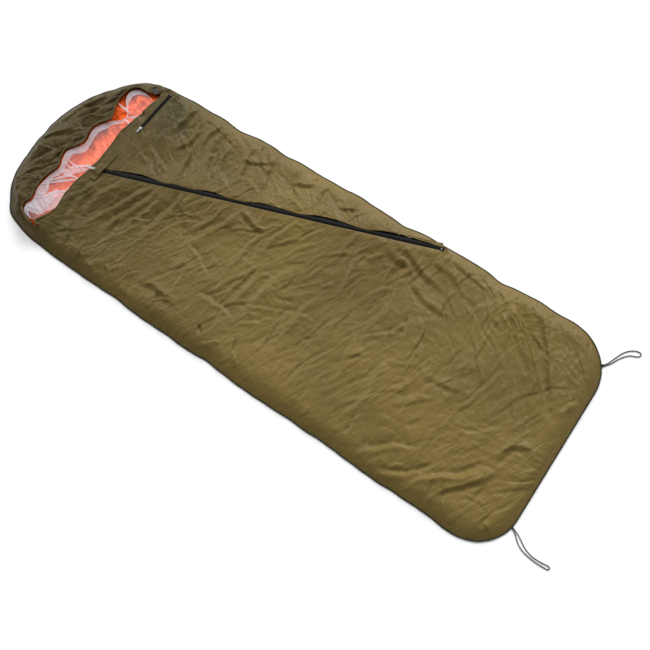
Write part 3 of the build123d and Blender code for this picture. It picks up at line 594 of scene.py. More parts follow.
    def height(self, x: Array, y: Array, folds: bool = True) -> Array:
        """The cloth's height: a quarter ellipse up from the seam, then level, with folds and creases.

        Args:
            x: across the sack.
            y: along the sack.
            folds: False for the smooth form under the folds.

        Returns:
            Heights above the ground.
        """
        inside = np.maximum(self.edge_distance(x, y), 0)
        rise = 1 - (1 - np.minimum(inside / RISE, 1)) ** 2.2
        calm = self.calm(x, y)
        level = np.maximum(self.spots(x, y, 0.075), self.spots(x, y, 0.016))
        slack = 0.034 + 0.006 * noise(x * 3.1, y * 2.3, 6.0) + 0.006 * ease((y - 0.95) / 0.06)
        top = slack * (1 - level) + LIP_Z * level
        collar = bell(np.maximum(np.abs(y - COLLAR_Y) - 0.004, 0), 0.03) * (np.abs(x) < 0.4) * calm
        top = top + np.maximum(0.0465 - top, 0) * collar
        z = SEAM_Z + (top - SEAM_Z) * np.maximum(rise, ease(2 * self.spots(x, y, 0.02)) * ease(inside / 0.02))
        if folds:
            lift = sum((fold.lift(x, y) for fold in FOLDS), self.crumple(x, y))
            z = z + lift * calm * ease(inside / 0.03)
        return np.clip(z, 0.003, 0.0655)

    def outline(self) -> Array:
        """The whole edge in plan, once round: right side up, hood, left side down, foot."""
        y = np.concatenate([-LENGTH / 2 + CORNER_R * (1 - np.cos(np.linspace(0, np.pi / 2, 40))),
                            np.linspace(-LENGTH / 2 + CORNER_R, COLLAR_Y, 260)[1:]])
        turn = np.linspace(0, np.pi, 240)[1:-1]
        reach = self.hood_reach(turn)
        hood = np.column_stack([HOOD_CENTRE[0] + reach * np.cos(turn), HOOD_CENTRE[1] + reach * np.sin(turn)])
        right, left = np.column_stack([self.side(y, 1.0), y]), np.column_stack([-self.side(y, -1.0), y])
        foot = np.linspace(left[0], right[0], 90)[1:-1]
        return np.vstack([right, hood, left[::-1], foot])


# ---- meshes -----------------------------------------------------------------------------------------
def grid_faces(rows: int, cols: int, start: int = 0, wrap: bool = False) -> Array:
    """Corner numbers of the quads of a grid, stored row by row; wrap joins the last column to the first.

    Args:
        rows: of the grid.
        cols: of the grid.
        start: the first corner's number.
        wrap: whether the columns go round.

    Returns:
        Corner numbers, n by 4.
    """
    r, c = np.meshgrid(np.arange(rows - 1), np.arange(cols if wrap else cols - 1), indexing="ij")
    d = (c + 1) % cols
    quads = np.stack([r * cols + c, r * cols + d, (r + 1) * cols + d, (r + 1) * cols + c], axis=-1)
    return quads.reshape(-1, 4) + start


def piece(name: str, points: Array, faces: Array, finish: Finish, body: str | None = "sack",
          stands_for: tuple = (), uv: Array | None = None, closed: bool = False, upward: bool = False,
          weld: float = 0.0) -> bpy.types.Object:
    """Makes one piece of the sack from points and quads.

    Args:
        name: the piece's name.
        points: corner places, n by 3.
        faces: corner numbers, m by 4.
        finish: its material.
        body: the CAD body that it rides on, or None to attach it to no body.
        stands_for: CAD nodes that it replaces.
        uv: a place on the cloth for each point, n by 2.
        closed: a closed skin, whose faces are turned outwards.
        upward: an open sheet, turned so that it faces up.
        weld: joins points nearer than this.

    Returns:
        The object.
    """
    points, faces = np.asarray(points, float).reshape(-1, 3), np.asarray(faces)
    if upward:
        a, b, c = (points[faces[:, k]] for k in range(3))
        if np.cross(b - a, c - a)[:, 2].sum() < 0:
            faces = faces[:, ::-1]
    mesh = bpy.data.meshes.new(name)
    mesh.vertices.add(len(points))
    mesh.vertices.foreach_set("co", points.astype(np.float32).ravel())
    mesh.loops.add(faces.size)
    mesh.loops.foreach_set("vertex_index", faces.astype(np.int32).ravel())
    mesh.polygons.add(len(faces))
    mesh.polygons.foreach_set("loop_start", np.arange(0, faces.size, faces.shape[1], dtype=np.int32))
    mesh.update(calc_edges=True)
    if uv is not None:
        mesh.uv_layers.new(name="UVMap").data.foreach_set("uv", uv[faces.ravel()].astype(np.float32).ravel())
    if weld or closed:
        work = bmesh.new()
        work.from_mesh(mesh)
        if weld:
            bmesh.ops.remove_doubles(work, verts=work.verts, dist=weld)
        if closed:
            bmesh.ops.recalc_face_normals(work, faces=work.faces)
        work.to_mesh(mesh)
        work.free()
    mesh.validate()
    mesh.shade_smooth()
    obj = bpy.data.objects.new(name, mesh)
    bpy.context.scene.collection.objects.link(obj)
    mesh.materials.append(MATERIALS[finish])
    if body:
        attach(obj, body)
    if stands_for:
        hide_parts(*stands_for)
    log.info("%s: %d faces", name, len(mesh.polygons))
    return obj


def thicken(obj: bpy.types.Object, thickness: float) -> bpy.types.Object:
    """Gives a sheet its thickness, half to each side.

    Args:
        obj: the sheet.
        thickness: its whole thickness.

    Returns:
        The same object.
    """
    wall = obj.modifiers.new("thickness", "SOLIDIFY")
    wall.thickness, wall.offset = thickness, 0.0
    return obj


def sweep(path: Array, profile: Array, wrap: bool = True, scale: Array | float = 1.0) -> tuple[Array, Array]:
    """A profile carried along a path: each point is the path plus its share sideways and its share up.

    Args:
        path: n by 3.
        profile: m by 2, as sideways (to the left of the path) and up.
        wrap: True for a closed profile.
        scale: of the profile, one number or one for each path point.

    Returns:
        Points and faces.
    """
    step = np.gradient(path, axis=0)
    level = np.column_stack([-step[:, 1], step[:, 0], np.zeros(len(path))])
    level /= np.maximum(np.linalg.norm(level, axis=1, keepdims=True), 1e-9)
    up = np.cross(step, level)
    up /= np.maximum(np.linalg.norm(up, axis=1, keepdims=True), 1e-9)
    size = np.broadcast_to(scale, (len(path),))[:, None, None]
    pts = path[:, None] + size * (profile[None, :, :1] * level[:, None] + profile[None, :, 1:] * up[:, None])
    return pts.reshape(-1, 3), grid_faces(len(path), len(profile), wrap=wrap)


def ring(radius_across: float, radius_up: float, sides: int) -> Array:
    """The points of an ellipse, to use as a profile."""
    turn = np.linspace(0, 2 * np.pi, sides, endpoint=False)
    return np.column_stack([radius_across * np.cos(turn), radius_up * np.sin(turn)])


def capped(points: Array, faces: Array, sides: int) -> tuple[Array, Array]:
    """Closes both ends of a swept tube with a fan to a point at each end's middle.

    Args:
        points: of the tube.
        faces: of the tube.
        sides: of its section.

    Returns:
        Points and faces.
    """
    count = len(points)
    first, last = points[:sides], points[-sides:]
    pts = np.vstack([points, first.mean(0), last.mean(0)])
    k = np.arange(sides)
    low = np.column_stack([(k + 1) % sides, k, np.full(sides, count), np.full(sides, count)])
    tip = np.full(sides, count + 1)
    high = np.column_stack([count - sides + k, count - sides + (k + 1) % sides, tip, tip])
    return pts, np.vstack([faces, low, high])


def tube(path: Array, outward: Array, radius: float, sides: int) -> tuple[Array, Array]:
    """A round tube along a path that turns any way, with both ends closed.

    Args:
        path: n by 3.
        outward: for each point, a direction that isn't along the path, n by 3.
        radius: of the tube.
        sides: of its section.

    Returns:
        Points and faces.
    """
    step = np.gradient(path, axis=0)
    other = np.cross(step, outward)
    other /= np.linalg.norm(other, axis=1, keepdims=True)
    out = np.cross(other, step)
    out /= np.linalg.norm(out, axis=1, keepdims=True)
    turn = np.linspace(0, 2 * np.pi, sides, endpoint=False)[None, :, None]
    points = path[:, None] + radius * (np.cos(turn) * out[:, None] + np.sin(turn) * other[:, None])
    return capped(points.reshape(-1, 3), grid_faces(len(path), sides, wrap=True), sides)


def slab(start: tuple, end: tuple, half_wide: float, half_high: float, ribs: int = 0,
         soft: float = 0.0015) -> tuple[Array, Array]:
    """A flat strip with rounded edges and ends, such as a patch of webbing.

    Args:
        start: the middle of its first end.
        end: the middle of its last end.
        half_wide: half its width.
        half_high: half its thickness.
        ribs: how many ribs run across it.
        soft: how far from an end it starts to round off.

    Returns:
        Points and faces.
    """
    t = np.linspace(0, 1, max(24, ribs * 8))
    path = np.array(start) + t[:, None] * (np.array(end) - np.array(start))
    reach = np.linalg.norm(path[-1] - path[0]) * np.minimum(t, 1 - t)
    groove = 0.06 * (0.5 - 0.5 * np.cos(2 * np.pi * ribs * t)) if ribs else 0
    scale = 0.80 + 0.20 * ease(reach / soft) ** 0.5 - groove
    turn = np.linspace(0, 2 * np.pi, 28, endpoint=False)
    c, s = np.cos(turn), np.sin(turn)
    profile = np.column_stack([half_wide * np.sign(c) * np.abs(c) ** 0.35,
                               half_high * np.sign(s) * np.abs(s) ** 0.5])
    return capped(*sweep(path, profile, scale=scale), 28)


def coil(start: Array, axis: Array, side: Array, turns: float, pitch: float, across: float, high: float,
         wire: float, steps: int = 8, sides: int = 4) -> tuple[Array, Array]:
    """A wire wound round an axis, as an ellipse that moves on by the pitch at each turn.

    Args:
        start: the axis's start.
        axis: its direction.
        side: the level direction across it.
        turns: how many.
        pitch: from one turn to the next.
        across: the ellipse's reach to the side.
        high: its reach up.
        wire: the wire's radius.
        steps: points for each turn.
        sides: of the wire.

    Returns:
        Points and faces.
    """
    t = np.linspace(0, turns, int(turns * steps) + 1)[:, None]
    c, s, up = np.cos(2 * np.pi * t), np.sin(2 * np.pi * t), np.array((0.0, 0.0, 1.0))
    path = start + t * pitch * axis + across * c * side + high * s * up
    return tube(path, c * side + s * up, wire, sides)


def join(parts: list) -> tuple[Array, Array]:
    """Several (points, faces) as one.

    Args:
        parts: pairs of points and faces.

    Returns:
        Points and faces.
    """
    start, points, faces = 0, [], []
    for p, f in parts:
        points.append(p)
        faces.append(f + start)
        start += len(p)
    return np.vstack(points), np.vstack(faces)


def stitches(line: Array, pitch: float = 0.0042, length: float = 0.0028,
             half: float = 0.00035) -> tuple[Array, Array]:
    """A row of sewn stitches: a small box with a raised middle for each, laid along the line.

    Args:
        line: n by 3.
        pitch: from one stitch to the next.
        length: of a stitch.
        half: half its width.

    Returns:
        Points and faces.
    """
    s = along(line)
    count = max(int(s[-1] / pitch), 2)
    start = np.linspace(0, s[-1] - length, count)
    ends = [np.column_stack([np.interp(start + length * f, s, line[:, k]) for k in range(3)])
            for f in (0, 0.5, 1)]
    way = ends[2] - ends[0]
    side = np.column_stack([-way[:, 1], way[:, 0], 0 * way[:, 0]])
    side *= half / np.maximum(np.linalg.norm(side, axis=1, keepdims=True), 1e-9)
    up = np.array((0, 0, 1.0))
    pts = np.stack([ends[0] - 0.0002 * up, ends[1] - side, ends[1] + 0.0005 * up, ends[1] + side,
                    ends[2] - 0.0002 * up], axis=1)
    quads = np.array([(0, 1, 2, 2), (0, 2, 3, 3), (1, 4, 2, 2), (2, 4, 3, 3), (0, 3, 4, 1)])
    faces = (quads[None] + 5 * np.arange(count)[:, None, None]).reshape(-1, 4)
    return pts.reshape(-1, 3), faces


# ---- finishes ---------------------------------------------------------------------------------------
def linear(red: float, green: float, blue: float) -> tuple:
    """A colour of 0 to 255 in the shader's own linear scale, with full alpha."""
    parts = [v / 255 for v in (red, green, blue)]
    return tuple(v / 12.92 if v <= 0.04045 else ((v + 0.055) / 1.055) ** 2.4 for v in parts) + (1.0,)


class Signal:
    """A shader socket that Python arithmetic works on; each operator adds a Math node."""

    def __init__(self, graph: "Graph", socket: bpy.types.NodeSocket) -> None:
        """Keeps the graph and the socket."""
        self.graph, self.socket = graph, socket

    def _with(self, operation: str, first: object, second: object) -> "Signal":
        """A Math node on two values."""
        return self.graph.out("ShaderNodeMath", {"operation": operation}, {0: first, 1: second})

    def __add__(self, other: object) -> "Signal":
        """Sum."""
        return self._with("ADD", self, other)

    __radd__ = __add__

    def __sub__(self, other: object) -> "Signal":
        """Difference."""
        return self._with("SUBTRACT", self, other)

    def __rsub__(self, other: object) -> "Signal":
        """Reflected difference."""
        return self._with("SUBTRACT", other, self)

    def __mul__(self, other: object) -> "Signal":
        """Product."""
        return self._with("MULTIPLY", self, other)

    __rmul__ = __mul__

    def __pow__(self, other: object) -> "Signal":
        """Power."""
        return self._with("POWER", self, other)

    def __abs__(self) -> "Signal":
        """Size without sign."""
        return self._with("ABSOLUTE", self, 0.0)

    def sine(self) -> "Signal":
        """Sine, in radians."""
        return self._with("SINE", self, 0.0)

    def step(self, low: float, high: float) -> "Signal":
        """0 below low, 1 above high, smooth between."""
        return self.graph.out("ShaderNodeMapRange", {"interpolation_type": "SMOOTHSTEP"},
                              {"Value": self, "From Min": low, "From Max": high})


class Graph:
    """One material's nodes."""

    def __init__(self, name: str) -> None:
        """Starts a material with an empty tree."""
        self.material = bpy.data.materials.new(name)
        self.material.use_nodes = True
        self.tree = self.material.node_tree
        self.tree.nodes.clear()
        self.place = self.out("ShaderNodeTexCoord", {}, {}, "Object")

    def node(self, kind: str, settings: dict, sockets: dict) -> bpy.types.Node:
        """Adds a node.

        Args:
            kind: the node's type.
            settings: its properties, set first.
            sockets: input names or numbers, with a value or a Signal for each.

        Returns:
            The node.
        """
        made = self.tree.nodes.new(kind)
        for key, value in settings.items():
            setattr(made, key, value)
        for key, value in sockets.items():
            socket = made.inputs[key]
            if isinstance(value, Signal):
                self.tree.links.new(value.socket, socket)
            else:
                socket.default_value = value
        return made

    def out(self, kind: str, settings: dict, sockets: dict, output: object = 0) -> Signal:
        """Adds a node and gives one of its outputs."""
        return Signal(self, self.node(kind, settings, sockets).outputs[output])

    def noise(self, scale: float, detail: float = 2.0, rough: float = 0.5, bend: float = 0.0,
              place: Signal | None = None) -> Signal:
        """Noise from 0 to 1, scale features to the metre."""
        return self.out("ShaderNodeTexNoise", {},
                        {"Vector": place or self.place, "Scale": scale, "Detail": detail, "Roughness": rough,
                         "Distortion": bend}, "Fac")

    def stretched(self, turn: float, length: float) -> Signal:
        """The place drawn out along a direction in plan (degrees from +X), for creases that run that way."""
        return self.out("ShaderNodeMapping", {"vector_type": "TEXTURE"},
                        {"Vector": self.place, "Scale": (length, 1.0, 1.0),
                         "Rotation": (0, 0, math.radians(turn))}, "Vector")

    def parts(self, place: Signal | None = None) -> tuple[Signal, Signal, Signal]:
        """X, Y and Z of the place."""
        made = self.node("ShaderNodeSeparateXYZ", {}, {0: place or self.place})
        return tuple(Signal(self, made.outputs[k]) for k in range(3))

    def blend(self, share: Signal, first: object, second: object) -> Signal:
        """A colour between two, by share."""
        made = self.node("ShaderNodeMix", {"data_type": "RGBA"}, {0: share, 6: first, 7: second})
        return Signal(self, made.outputs[2])

    def finish(self, colour: object, roughness: object, height: Signal | None = None, depth: float = 0.001,
               strength: float = 1.0, alpha: object = None, **fixed: float) -> bpy.types.Material:
        """Puts the surface shader on.

        Args:
            colour: Base Color.
            roughness: Roughness.
            height: bump height from 0 to 1.
            depth: the bump's height in metres.
            strength: of the bump.
            alpha: Alpha, if the surface has holes.
            fixed: other sockets with one value all over, named with _ for a space.

        Returns:
            The material.
        """
        sockets = {"Base Color": colour, "Roughness": roughness}
        sockets.update({key.replace("_", " "): value for key, value in fixed.items()})
        if alpha is not None:
            sockets["Alpha"] = alpha
        if height is not None:
            sockets["Normal"] = self.out("ShaderNodeBump", {}, {"Strength": strength, "Distance": depth,
                                                                "Height": height}, "Normal")
        shader = self.out("ShaderNodeBsdfPrincipled", {}, sockets, "BSDF")
        self.node("ShaderNodeOutputMaterial", {}, {"Surface": shader})
        return self.material


@dataclass(frozen=True)
class Cloth:
    """A coated woven cloth: two tones, fine creases and a plain weave."""

    finish: Finish
    tone: tuple
    shade: tuple
    head: tuple
    roughness: float = 0.46
    crease: float = 1.0
    shine: float = 0.15
    threads: float = 1100.0

    def material(self) -> bpy.types.Material:
        """Colour drifts between two tones and darkens to the head, partly the cloth's own tone and partly
        painted shade, with a painted highlight on the crease lines; bump is creases and weave.
        """
        g = Graph(self.finish.value)
        x, y, _ = g.parts()
        drift = g.noise(2.3, 3.0, 0.55)
        base = g.blend(drift.step(0.35, 0.68), self.tone, self.shade)
        # Darker towards the head, and darker again over the hood: partly the cloth's own tone, partly painted
        # shade.
        base = g.blend((y + 0.35 * (g.noise(3.0) - 0.5)).step(0.15, 0.95), base, self.head)
        base = g.blend(y.step(0.93, 0.99) * 0.6, base, tuple(v * 0.62 for v in self.head[:3]) + (1.0,))
        over, down = (x - 0.29) * 0.78 + (y - 0.77) * 0.62, (y - 0.77) * 0.78 - (x - 0.29) * 0.62
        patch = (1 - abs(over) * 10.0).step(0.0, 0.25) * (1 - abs(down) * 13.0).step(0.0, 0.3)
        base = g.blend(patch * 0.35, base, (0.052, 0.056, 0.026, 1.0))
        across = (x - ZIP_HEAD[0]) * ACROSS_ZIP[0] + (y - ZIP_HEAD[1]) * ACROSS_ZIP[1]
        foot = (-1 * y).step(0.25, 0.60)
        right = across.step(-0.05, 0.08) * (1 - foot) + x.step(-0.02, 0.12) * foot
        one = abs(g.noise(24.0, 3.0, 0.5, 0.25, g.stretched(-25, 4.5)) - 0.5)
        two = abs(g.noise(24.0, 3.0, 0.5, 0.25, g.stretched(47, 4.5)) - 0.5)
        cross = abs(g.noise(30.0, 3.0, 0.55, 0.4, g.stretched(100, 2.2)) - 0.5)
        tiny = abs(g.noise(95.0, 2.0, 0.5, 0.6) - 0.5)
        patches = g.noise(6.5, 1.0).step(0.36, 0.62)
        mixed = (right * 0.7 + g.noise(5.0, 1.0).step(0.35, 0.65) * 0.3)
        crease = (two * mixed + one * (1 - mixed)) * 4.2
        fine = cross * 3.0 * patches + tiny * 0.8 * (1.2 - patches)
        weave = (x * self.threads).sine() * (y * self.threads).sine()
        height = crease * self.crease * 0.62 + fine * 0.30 + weave * 0.01
        # Painted highlight: along the crease lines the colour turns towards a lighter copy of the tone.
        crease_highlight = (1 - crease * 3.0).step(0.2, 1.0)
        light = tuple(min(v * 1.22, 1.0) for v in self.tone[:3]) + (1.0,)
        colour = g.blend(crease_highlight * 0.14, base, light)
        rough = self.roughness + 0.16 * (g.noise(30.0, 2.0) - 0.5)
        return g.finish(colour, rough, height, 0.0046, 0.9, Specular_IOR_Level=self.shine)


@dataclass(frozen=True)
class Mesh:
    """A fine knitted net: threads with holes between them."""

    finish: Finish
    colour: tuple
    pitch: float = 0.0017
    cover: float = 0.30
    thread: float = 0.28

    def material(self) -> bpy.types.Material:
        """Alpha is high on two crossed sets of threads and low between, on the net's own UV map."""
        g = Graph(self.finish.value)
        uv = g.out("ShaderNodeTexCoord", {}, {}, "UV")
        u, v, _ = g.parts(uv)
        turn = math.pi / self.pitch
        one, two = abs(((u + v) * turn).sine()), abs(((u - v) * turn).sine())
        threads = (1 - one * two).step(0.55, 0.95)
        haze = g.noise(40.0, 2.0)
        alpha = self.cover * (0.7 + 0.6 * haze) + threads * self.thread
        colour = g.blend(haze, self.colour, tuple(v * 0.93 for v in self.colour[:3]) + (1.0,))
        return g.finish(colour, 0.6 + 0.1 * haze, threads, 0.0003, 0.5, alpha)


@dataclass(frozen=True)
class Ribbed:
    """A woven tape or webbing: ribs along Object coordinates and fuzz."""

    finish: Finish
    colour: tuple
    ribs: float
    fuzz: float = 0.4
    roughness: float = 0.75

    def material(self) -> bpy.types.Material:
        """Bump is ribs in two directions with noise; the colour lightens on the ribs."""
        g = Graph(self.finish.value)
        x, y, _ = g.parts()
        rib = ((x + y) * self.ribs).sine() * ((x - y) * self.ribs).sine()
        fuzz = g.noise(1400.0, 2.0, 0.7)
        light = tuple(min(v * 2.2 + 0.004, 1.0) for v in self.colour[:3]) + (1.0,)
        colour = g.blend((0.35 + 0.25 * rib + 0.4 * (fuzz - 0.5)).step(0.2, 0.9), self.colour, light)
        rough = self.roughness + 0.2 * (fuzz - 0.5)
        return g.finish(colour, rough, rib * 0.5 + fuzz * self.fuzz, 0.0003, 0.7, Specular_IOR_Level=0.2)


@dataclass(frozen=True)
class Hard:
    """Metal or moulded plastic, with fine grain and rubbed patches."""

    finish: Finish
    colour: tuple
    metallic: float
    roughness: float
    grain: float = 900.0

    def material(self) -> bpy.types.Material:
        """Roughness varies with slow smears; bump is a fine grain."""
        g = Graph(self.finish.value)
        smear = g.noise(160.0, 3.0, 0.6)
        grain = g.noise(self.grain, 2.0, 0.5)
        dull = tuple(v * 0.72 for v in self.colour[:3]) + (1.0,)
        colour = g.blend(smear.step(0.40, 0.70), self.colour, dull)
        rough = self.roughness + 0.22 * (smear - 0.5) + 0.08 * (grain - 0.5)
        return g.finish(colour, rough, grain * 0.6 + smear * 0.4, 0.00008, 0.5, Metallic=self.metallic)


@dataclass(frozen=True)
class Braid:
    """A braided cord: crossing strands that wind round it."""

    finish: Finish
    colour: tuple
    fleck: tuple
    strands: float = 5.0
    pitch: float = 260.0

    def material(self) -> bpy.types.Material:
        """Strands cross as the sines of (along + round) and (along - round), on the cord's UV map."""
        g = Graph(self.finish.value)
        uv = g.out("ShaderNodeTexCoord", {}, {}, "UV")
        u, v, _ = g.parts(uv)
        one = (u * self.pitch + v * (2 * math.pi * self.strands)).sine()
        two = (u * self.pitch - v * (2 * math.pi * self.strands)).sine()
        weave = 0.5 + 0.25 * (one + two) + 0.25 * one * two
        fuzz = g.noise(1800.0, 2.0, 0.6)
        colour = g.blend((weave * 0.8 + fuzz * 0.4).step(0.55, 1.0), self.colour, self.fleck)
        return g.finish(colour, 0.62 + 0.2 * (fuzz - 0.5), weave * 0.8 + fuzz * 0.3, 0.0005, 0.8)


OLIVE = Cloth(Finish.SHELL, linear(115, 97, 50), linear(103, 86, 44), linear(78, 66, 32))
FINISHES = [
    OLIVE,
    # The seam's binding is the shell's own cloth: its darker tones are painted shade along the edge.
    replace(OLIVE, finish=Finish.BINDING, tone=linear(50, 50, 33), shade=linear(44, 44, 30),
            head=linear(40, 40, 26)),
    replace(OLIVE, finish=Finish.POCKET, tone=linear(96, 86, 56), shade=linear(86, 78, 52)),
    Cloth(Finish.LINING, linear(255, 112, 38), linear(246, 76, 22), linear(254, 104, 34), 0.45, 1.0, 0.15),
    Mesh(Finish.NET, linear(226, 216, 220), cover=0.10, thread=0.14),
    Mesh(Finish.NET_DOUBLED, linear(216, 210, 218), cover=0.37, thread=0.25),
    Mesh(Finish.NET_EDGE, linear(232, 230, 236), cover=0.90, thread=0.2),
    Ribbed(Finish.TAPE, linear(7, 7, 8), 2600.0),
    Hard(Finish.COIL, linear(8, 8, 9), 0.0, 0.6),
    Hard(Finish.METAL, linear(206, 207, 208), 1.0, 0.30, 1500.0),
    Ribbed(Finish.WEBBING, linear(30, 30, 32), 1500.0, 0.3),
    Ribbed(Finish.HOOK, linear(28, 28, 28), 3600.0, 0.9, 0.9),
    Hard(Finish.PLASTIC, linear(10, 10, 11), 0.0, 0.45),
    Hard(Finish.STEEL, linear(170, 172, 176), 1.0, 0.28),
    Braid(Finish.DRAWCORD, linear(26, 26, 27), linear(52, 52, 54), 4.0, 900.0),
    Braid(Finish.LOOP_CORD, linear(28, 28, 29), linear(112, 112, 114), 4.0, 4200.0),
]
MATERIALS = {made.finish: made.material() for made in FINISHES}


# ---- cords ----------------------------------------------------------------------------------------
@dataclass(frozen=True)
class Cord:
    """A free cord along a route in a plane of its own, as (along, across) in metres.

    Attributes:
        name: the piece's name and the CAD node it stands for.
        origin: where the route starts.
        heading: degrees from +X that the route's first axis points.
        route: its points.
        diameter: its thickness.
        length: of the real cord.
        finish: its material.
        far_end: what is on its other end; not used.
        on_it: the pieces that are on it; not used.
    """

    name: str
    origin: tuple
    heading: float
    route: tuple
    diameter: float
    length: float
    finish: Finish
    far_end: str
    on_it: tuple

    def build(self) -> bpy.types.Object:
        """A NURBS curve with the route's points as its control points."""
        c, s = math.cos(math.radians(self.heading)), math.sin(math.radians(self.heading))
        ox, oy, oz = self.origin
        points = [(ox + a * c - b * s, oy + a * s + b * c, oz) for a, b in self.route]
        curve = bpy.data.curves.new(self.name + "_cord", "CURVE")
        curve.dimensions = "3D"
        curve.bevel_depth = self.diameter / 2
        curve.bevel_resolution = 3
        curve.resolution_u = 12
        curve.use_fill_caps = True
        line = curve.splines.new("NURBS")
        line.points.add(len(points) - 1)
        for at, point in zip(line.points, points):
            at.co = (*point, 1.0)
        line.order_u = 3
        line.use_endpoint_u = True
        obj = bpy.data.objects.new(self.name + "_cord", curve)
        bpy.context.scene.collection.objects.link(obj)
        curve.materials.append(MATERIALS[self.finish])
        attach(obj, "sack")
        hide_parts(self.name)
        log.info("%s: cord of %.3f m", self.name, self.length)
        return obj


@dataclass(frozen=True)
class Sleeve:
    """The ribbed webbing sleeve that holds both legs of a foot loop at the seam."""

    side: str
    end: tuple
    heading: float
    length: float = 0.014
    half_wide: float = 0.0055
    half_high: float = 0.0023

    def build(self) -> None:
        """A slab from inside the seam out to where the cord starts."""
        turn = math.radians(self.heading)
        x, y = self.end
        back = (x - self.length * math.cos(turn), y - self.length * math.sin(turn), self.half_high)
        points, faces = slab(back, (x, y, self.half_high), self.half_wide, self.half_high, 9)
        piece(f"loop_sleeve_{self.side}_ribs", points, faces, Finish.WEBBING,
              stands_for=(f"loop_sleeve_{self.side}",), closed=True)


@dataclass(frozen=True)
class Knot:
    """The knot at the drawcord's free end: the cord wound through itself three times."""

    middle: tuple = (0.389466, 0.851595, 0.0542)
    reach: float = 0.0034
    cord: float = 0.00135

    def build(self) -> None:
        """A trefoil, (sin t + 2 sin 2t, cos t - 2 cos 2t, -1.6 sin 3t), drawn to the knot's size."""
        t = np.linspace(0, 2 * np.pi, 97)
        path = np.column_stack([np.sin(t) + 2 * np.sin(2 * t), np.cos(t) - 2 * np.cos(2 * t),
                                -1.6 * np.sin(3 * t)])
        path *= (self.reach - self.cord) / 3.0
        outward = path + np.array((1e-5, 2e-5, 0.0))
        points, faces = tube(path + np.array(self.middle), outward, self.cord, 12)
        piece("drawcord_knot_wound", points, faces, Finish.DRAWCORD, stands_for=("drawcord_knot",),
              closed=True)


@dataclass(frozen=True)
class Patch:
    """A small flat piece that is sewn or bonded on.

    Attributes:
        name: the piece's name.
        stands_for: the CAD node that it replaces.
        finish: its material.
        start: the middle of its first end, in plan.
        end: the middle of its last end, in plan.
        half_wide: half its width.
        heights: its underside and its top.
        body: what it rides on.
        ribs: how many ribs run across it.
        pile: 1 for hooks or loops on its top, -1 for ones on its underside, 0 for none.
    """

    name: str
    stands_for: str
    finish: Finish
    start: tuple
    end: tuple
    half_wide: float
    heights: tuple
    body: str = "sack"
    ribs: int = 0
    pile: float = 0.0

    def build(self) -> None:
        """A slab; a hook or loop patch also has rows of fine pile, up or down."""
        low, high = self.heights
        mid = (low + high) / 2
        start, end = np.array((*self.start, mid)), np.array((*self.end, mid))
        parts = [slab(tuple(start), tuple(end), self.half_wide, (high - low) / 2, self.ribs)]
        if self.pile:
            way = (end - start) / np.linalg.norm(end - start)
            side = np.array((-way[1], way[0], 0.0))
            top = (high - mid) if self.pile > 0 else (low - mid)
            for share in np.linspace(-0.9, 0.9, 11):
                line = np.linspace(start + 0.001 * way, end - 0.001 * way, 12)
                line = line + share * self.half_wide * side + np.array((0, 0, top))
                points, faces = stitches(line, 0.0013, 0.0009, 0.00022)
                points[:, 2] = line[0, 2] + (points[:, 2] - line[0, 2]) * math.copysign(0.5, self.pile)
                parts.append((points, faces))
        points, faces = join(parts)
        piece(self.name, points, faces, self.finish, self.body, (self.stands_for,), closed=True)


def patches() -> list:
    """The zip's foot patch, the tab's sewn base, and its hook and loop patches."""
    foot, toe = (tuple(ZIP_HEAD + ALONG_ZIP * s) for s in FOOT_PATCH)
    base = [(x, TAB_Y) for x in TAB_BASE_X]
    grip = [(x, TAB_Y) for x in TAB_GRIP_X]
    return [Patch("zip_foot_patch", "zip_end_patch", Finish.WEBBING, foot, toe, 0.010, (0.0499, 0.0510), ribs=6),
            Patch("tab_base_strip", "closure_tab_base", Finish.SHELL, *base, 0.0155, (0.0499, 0.0508)),
            Patch("tab_loop_pile", "tab_loop_patch", Finish.HOOK, *grip, 0.0135, (0.0500, 0.0508), pile=1.0),
            Patch("tab_hook_pile", "tab_hook_patch", Finish.HOOK, *grip, 0.0135, (0.0515, 0.0523), "tab",
                  pile=-1.0)]


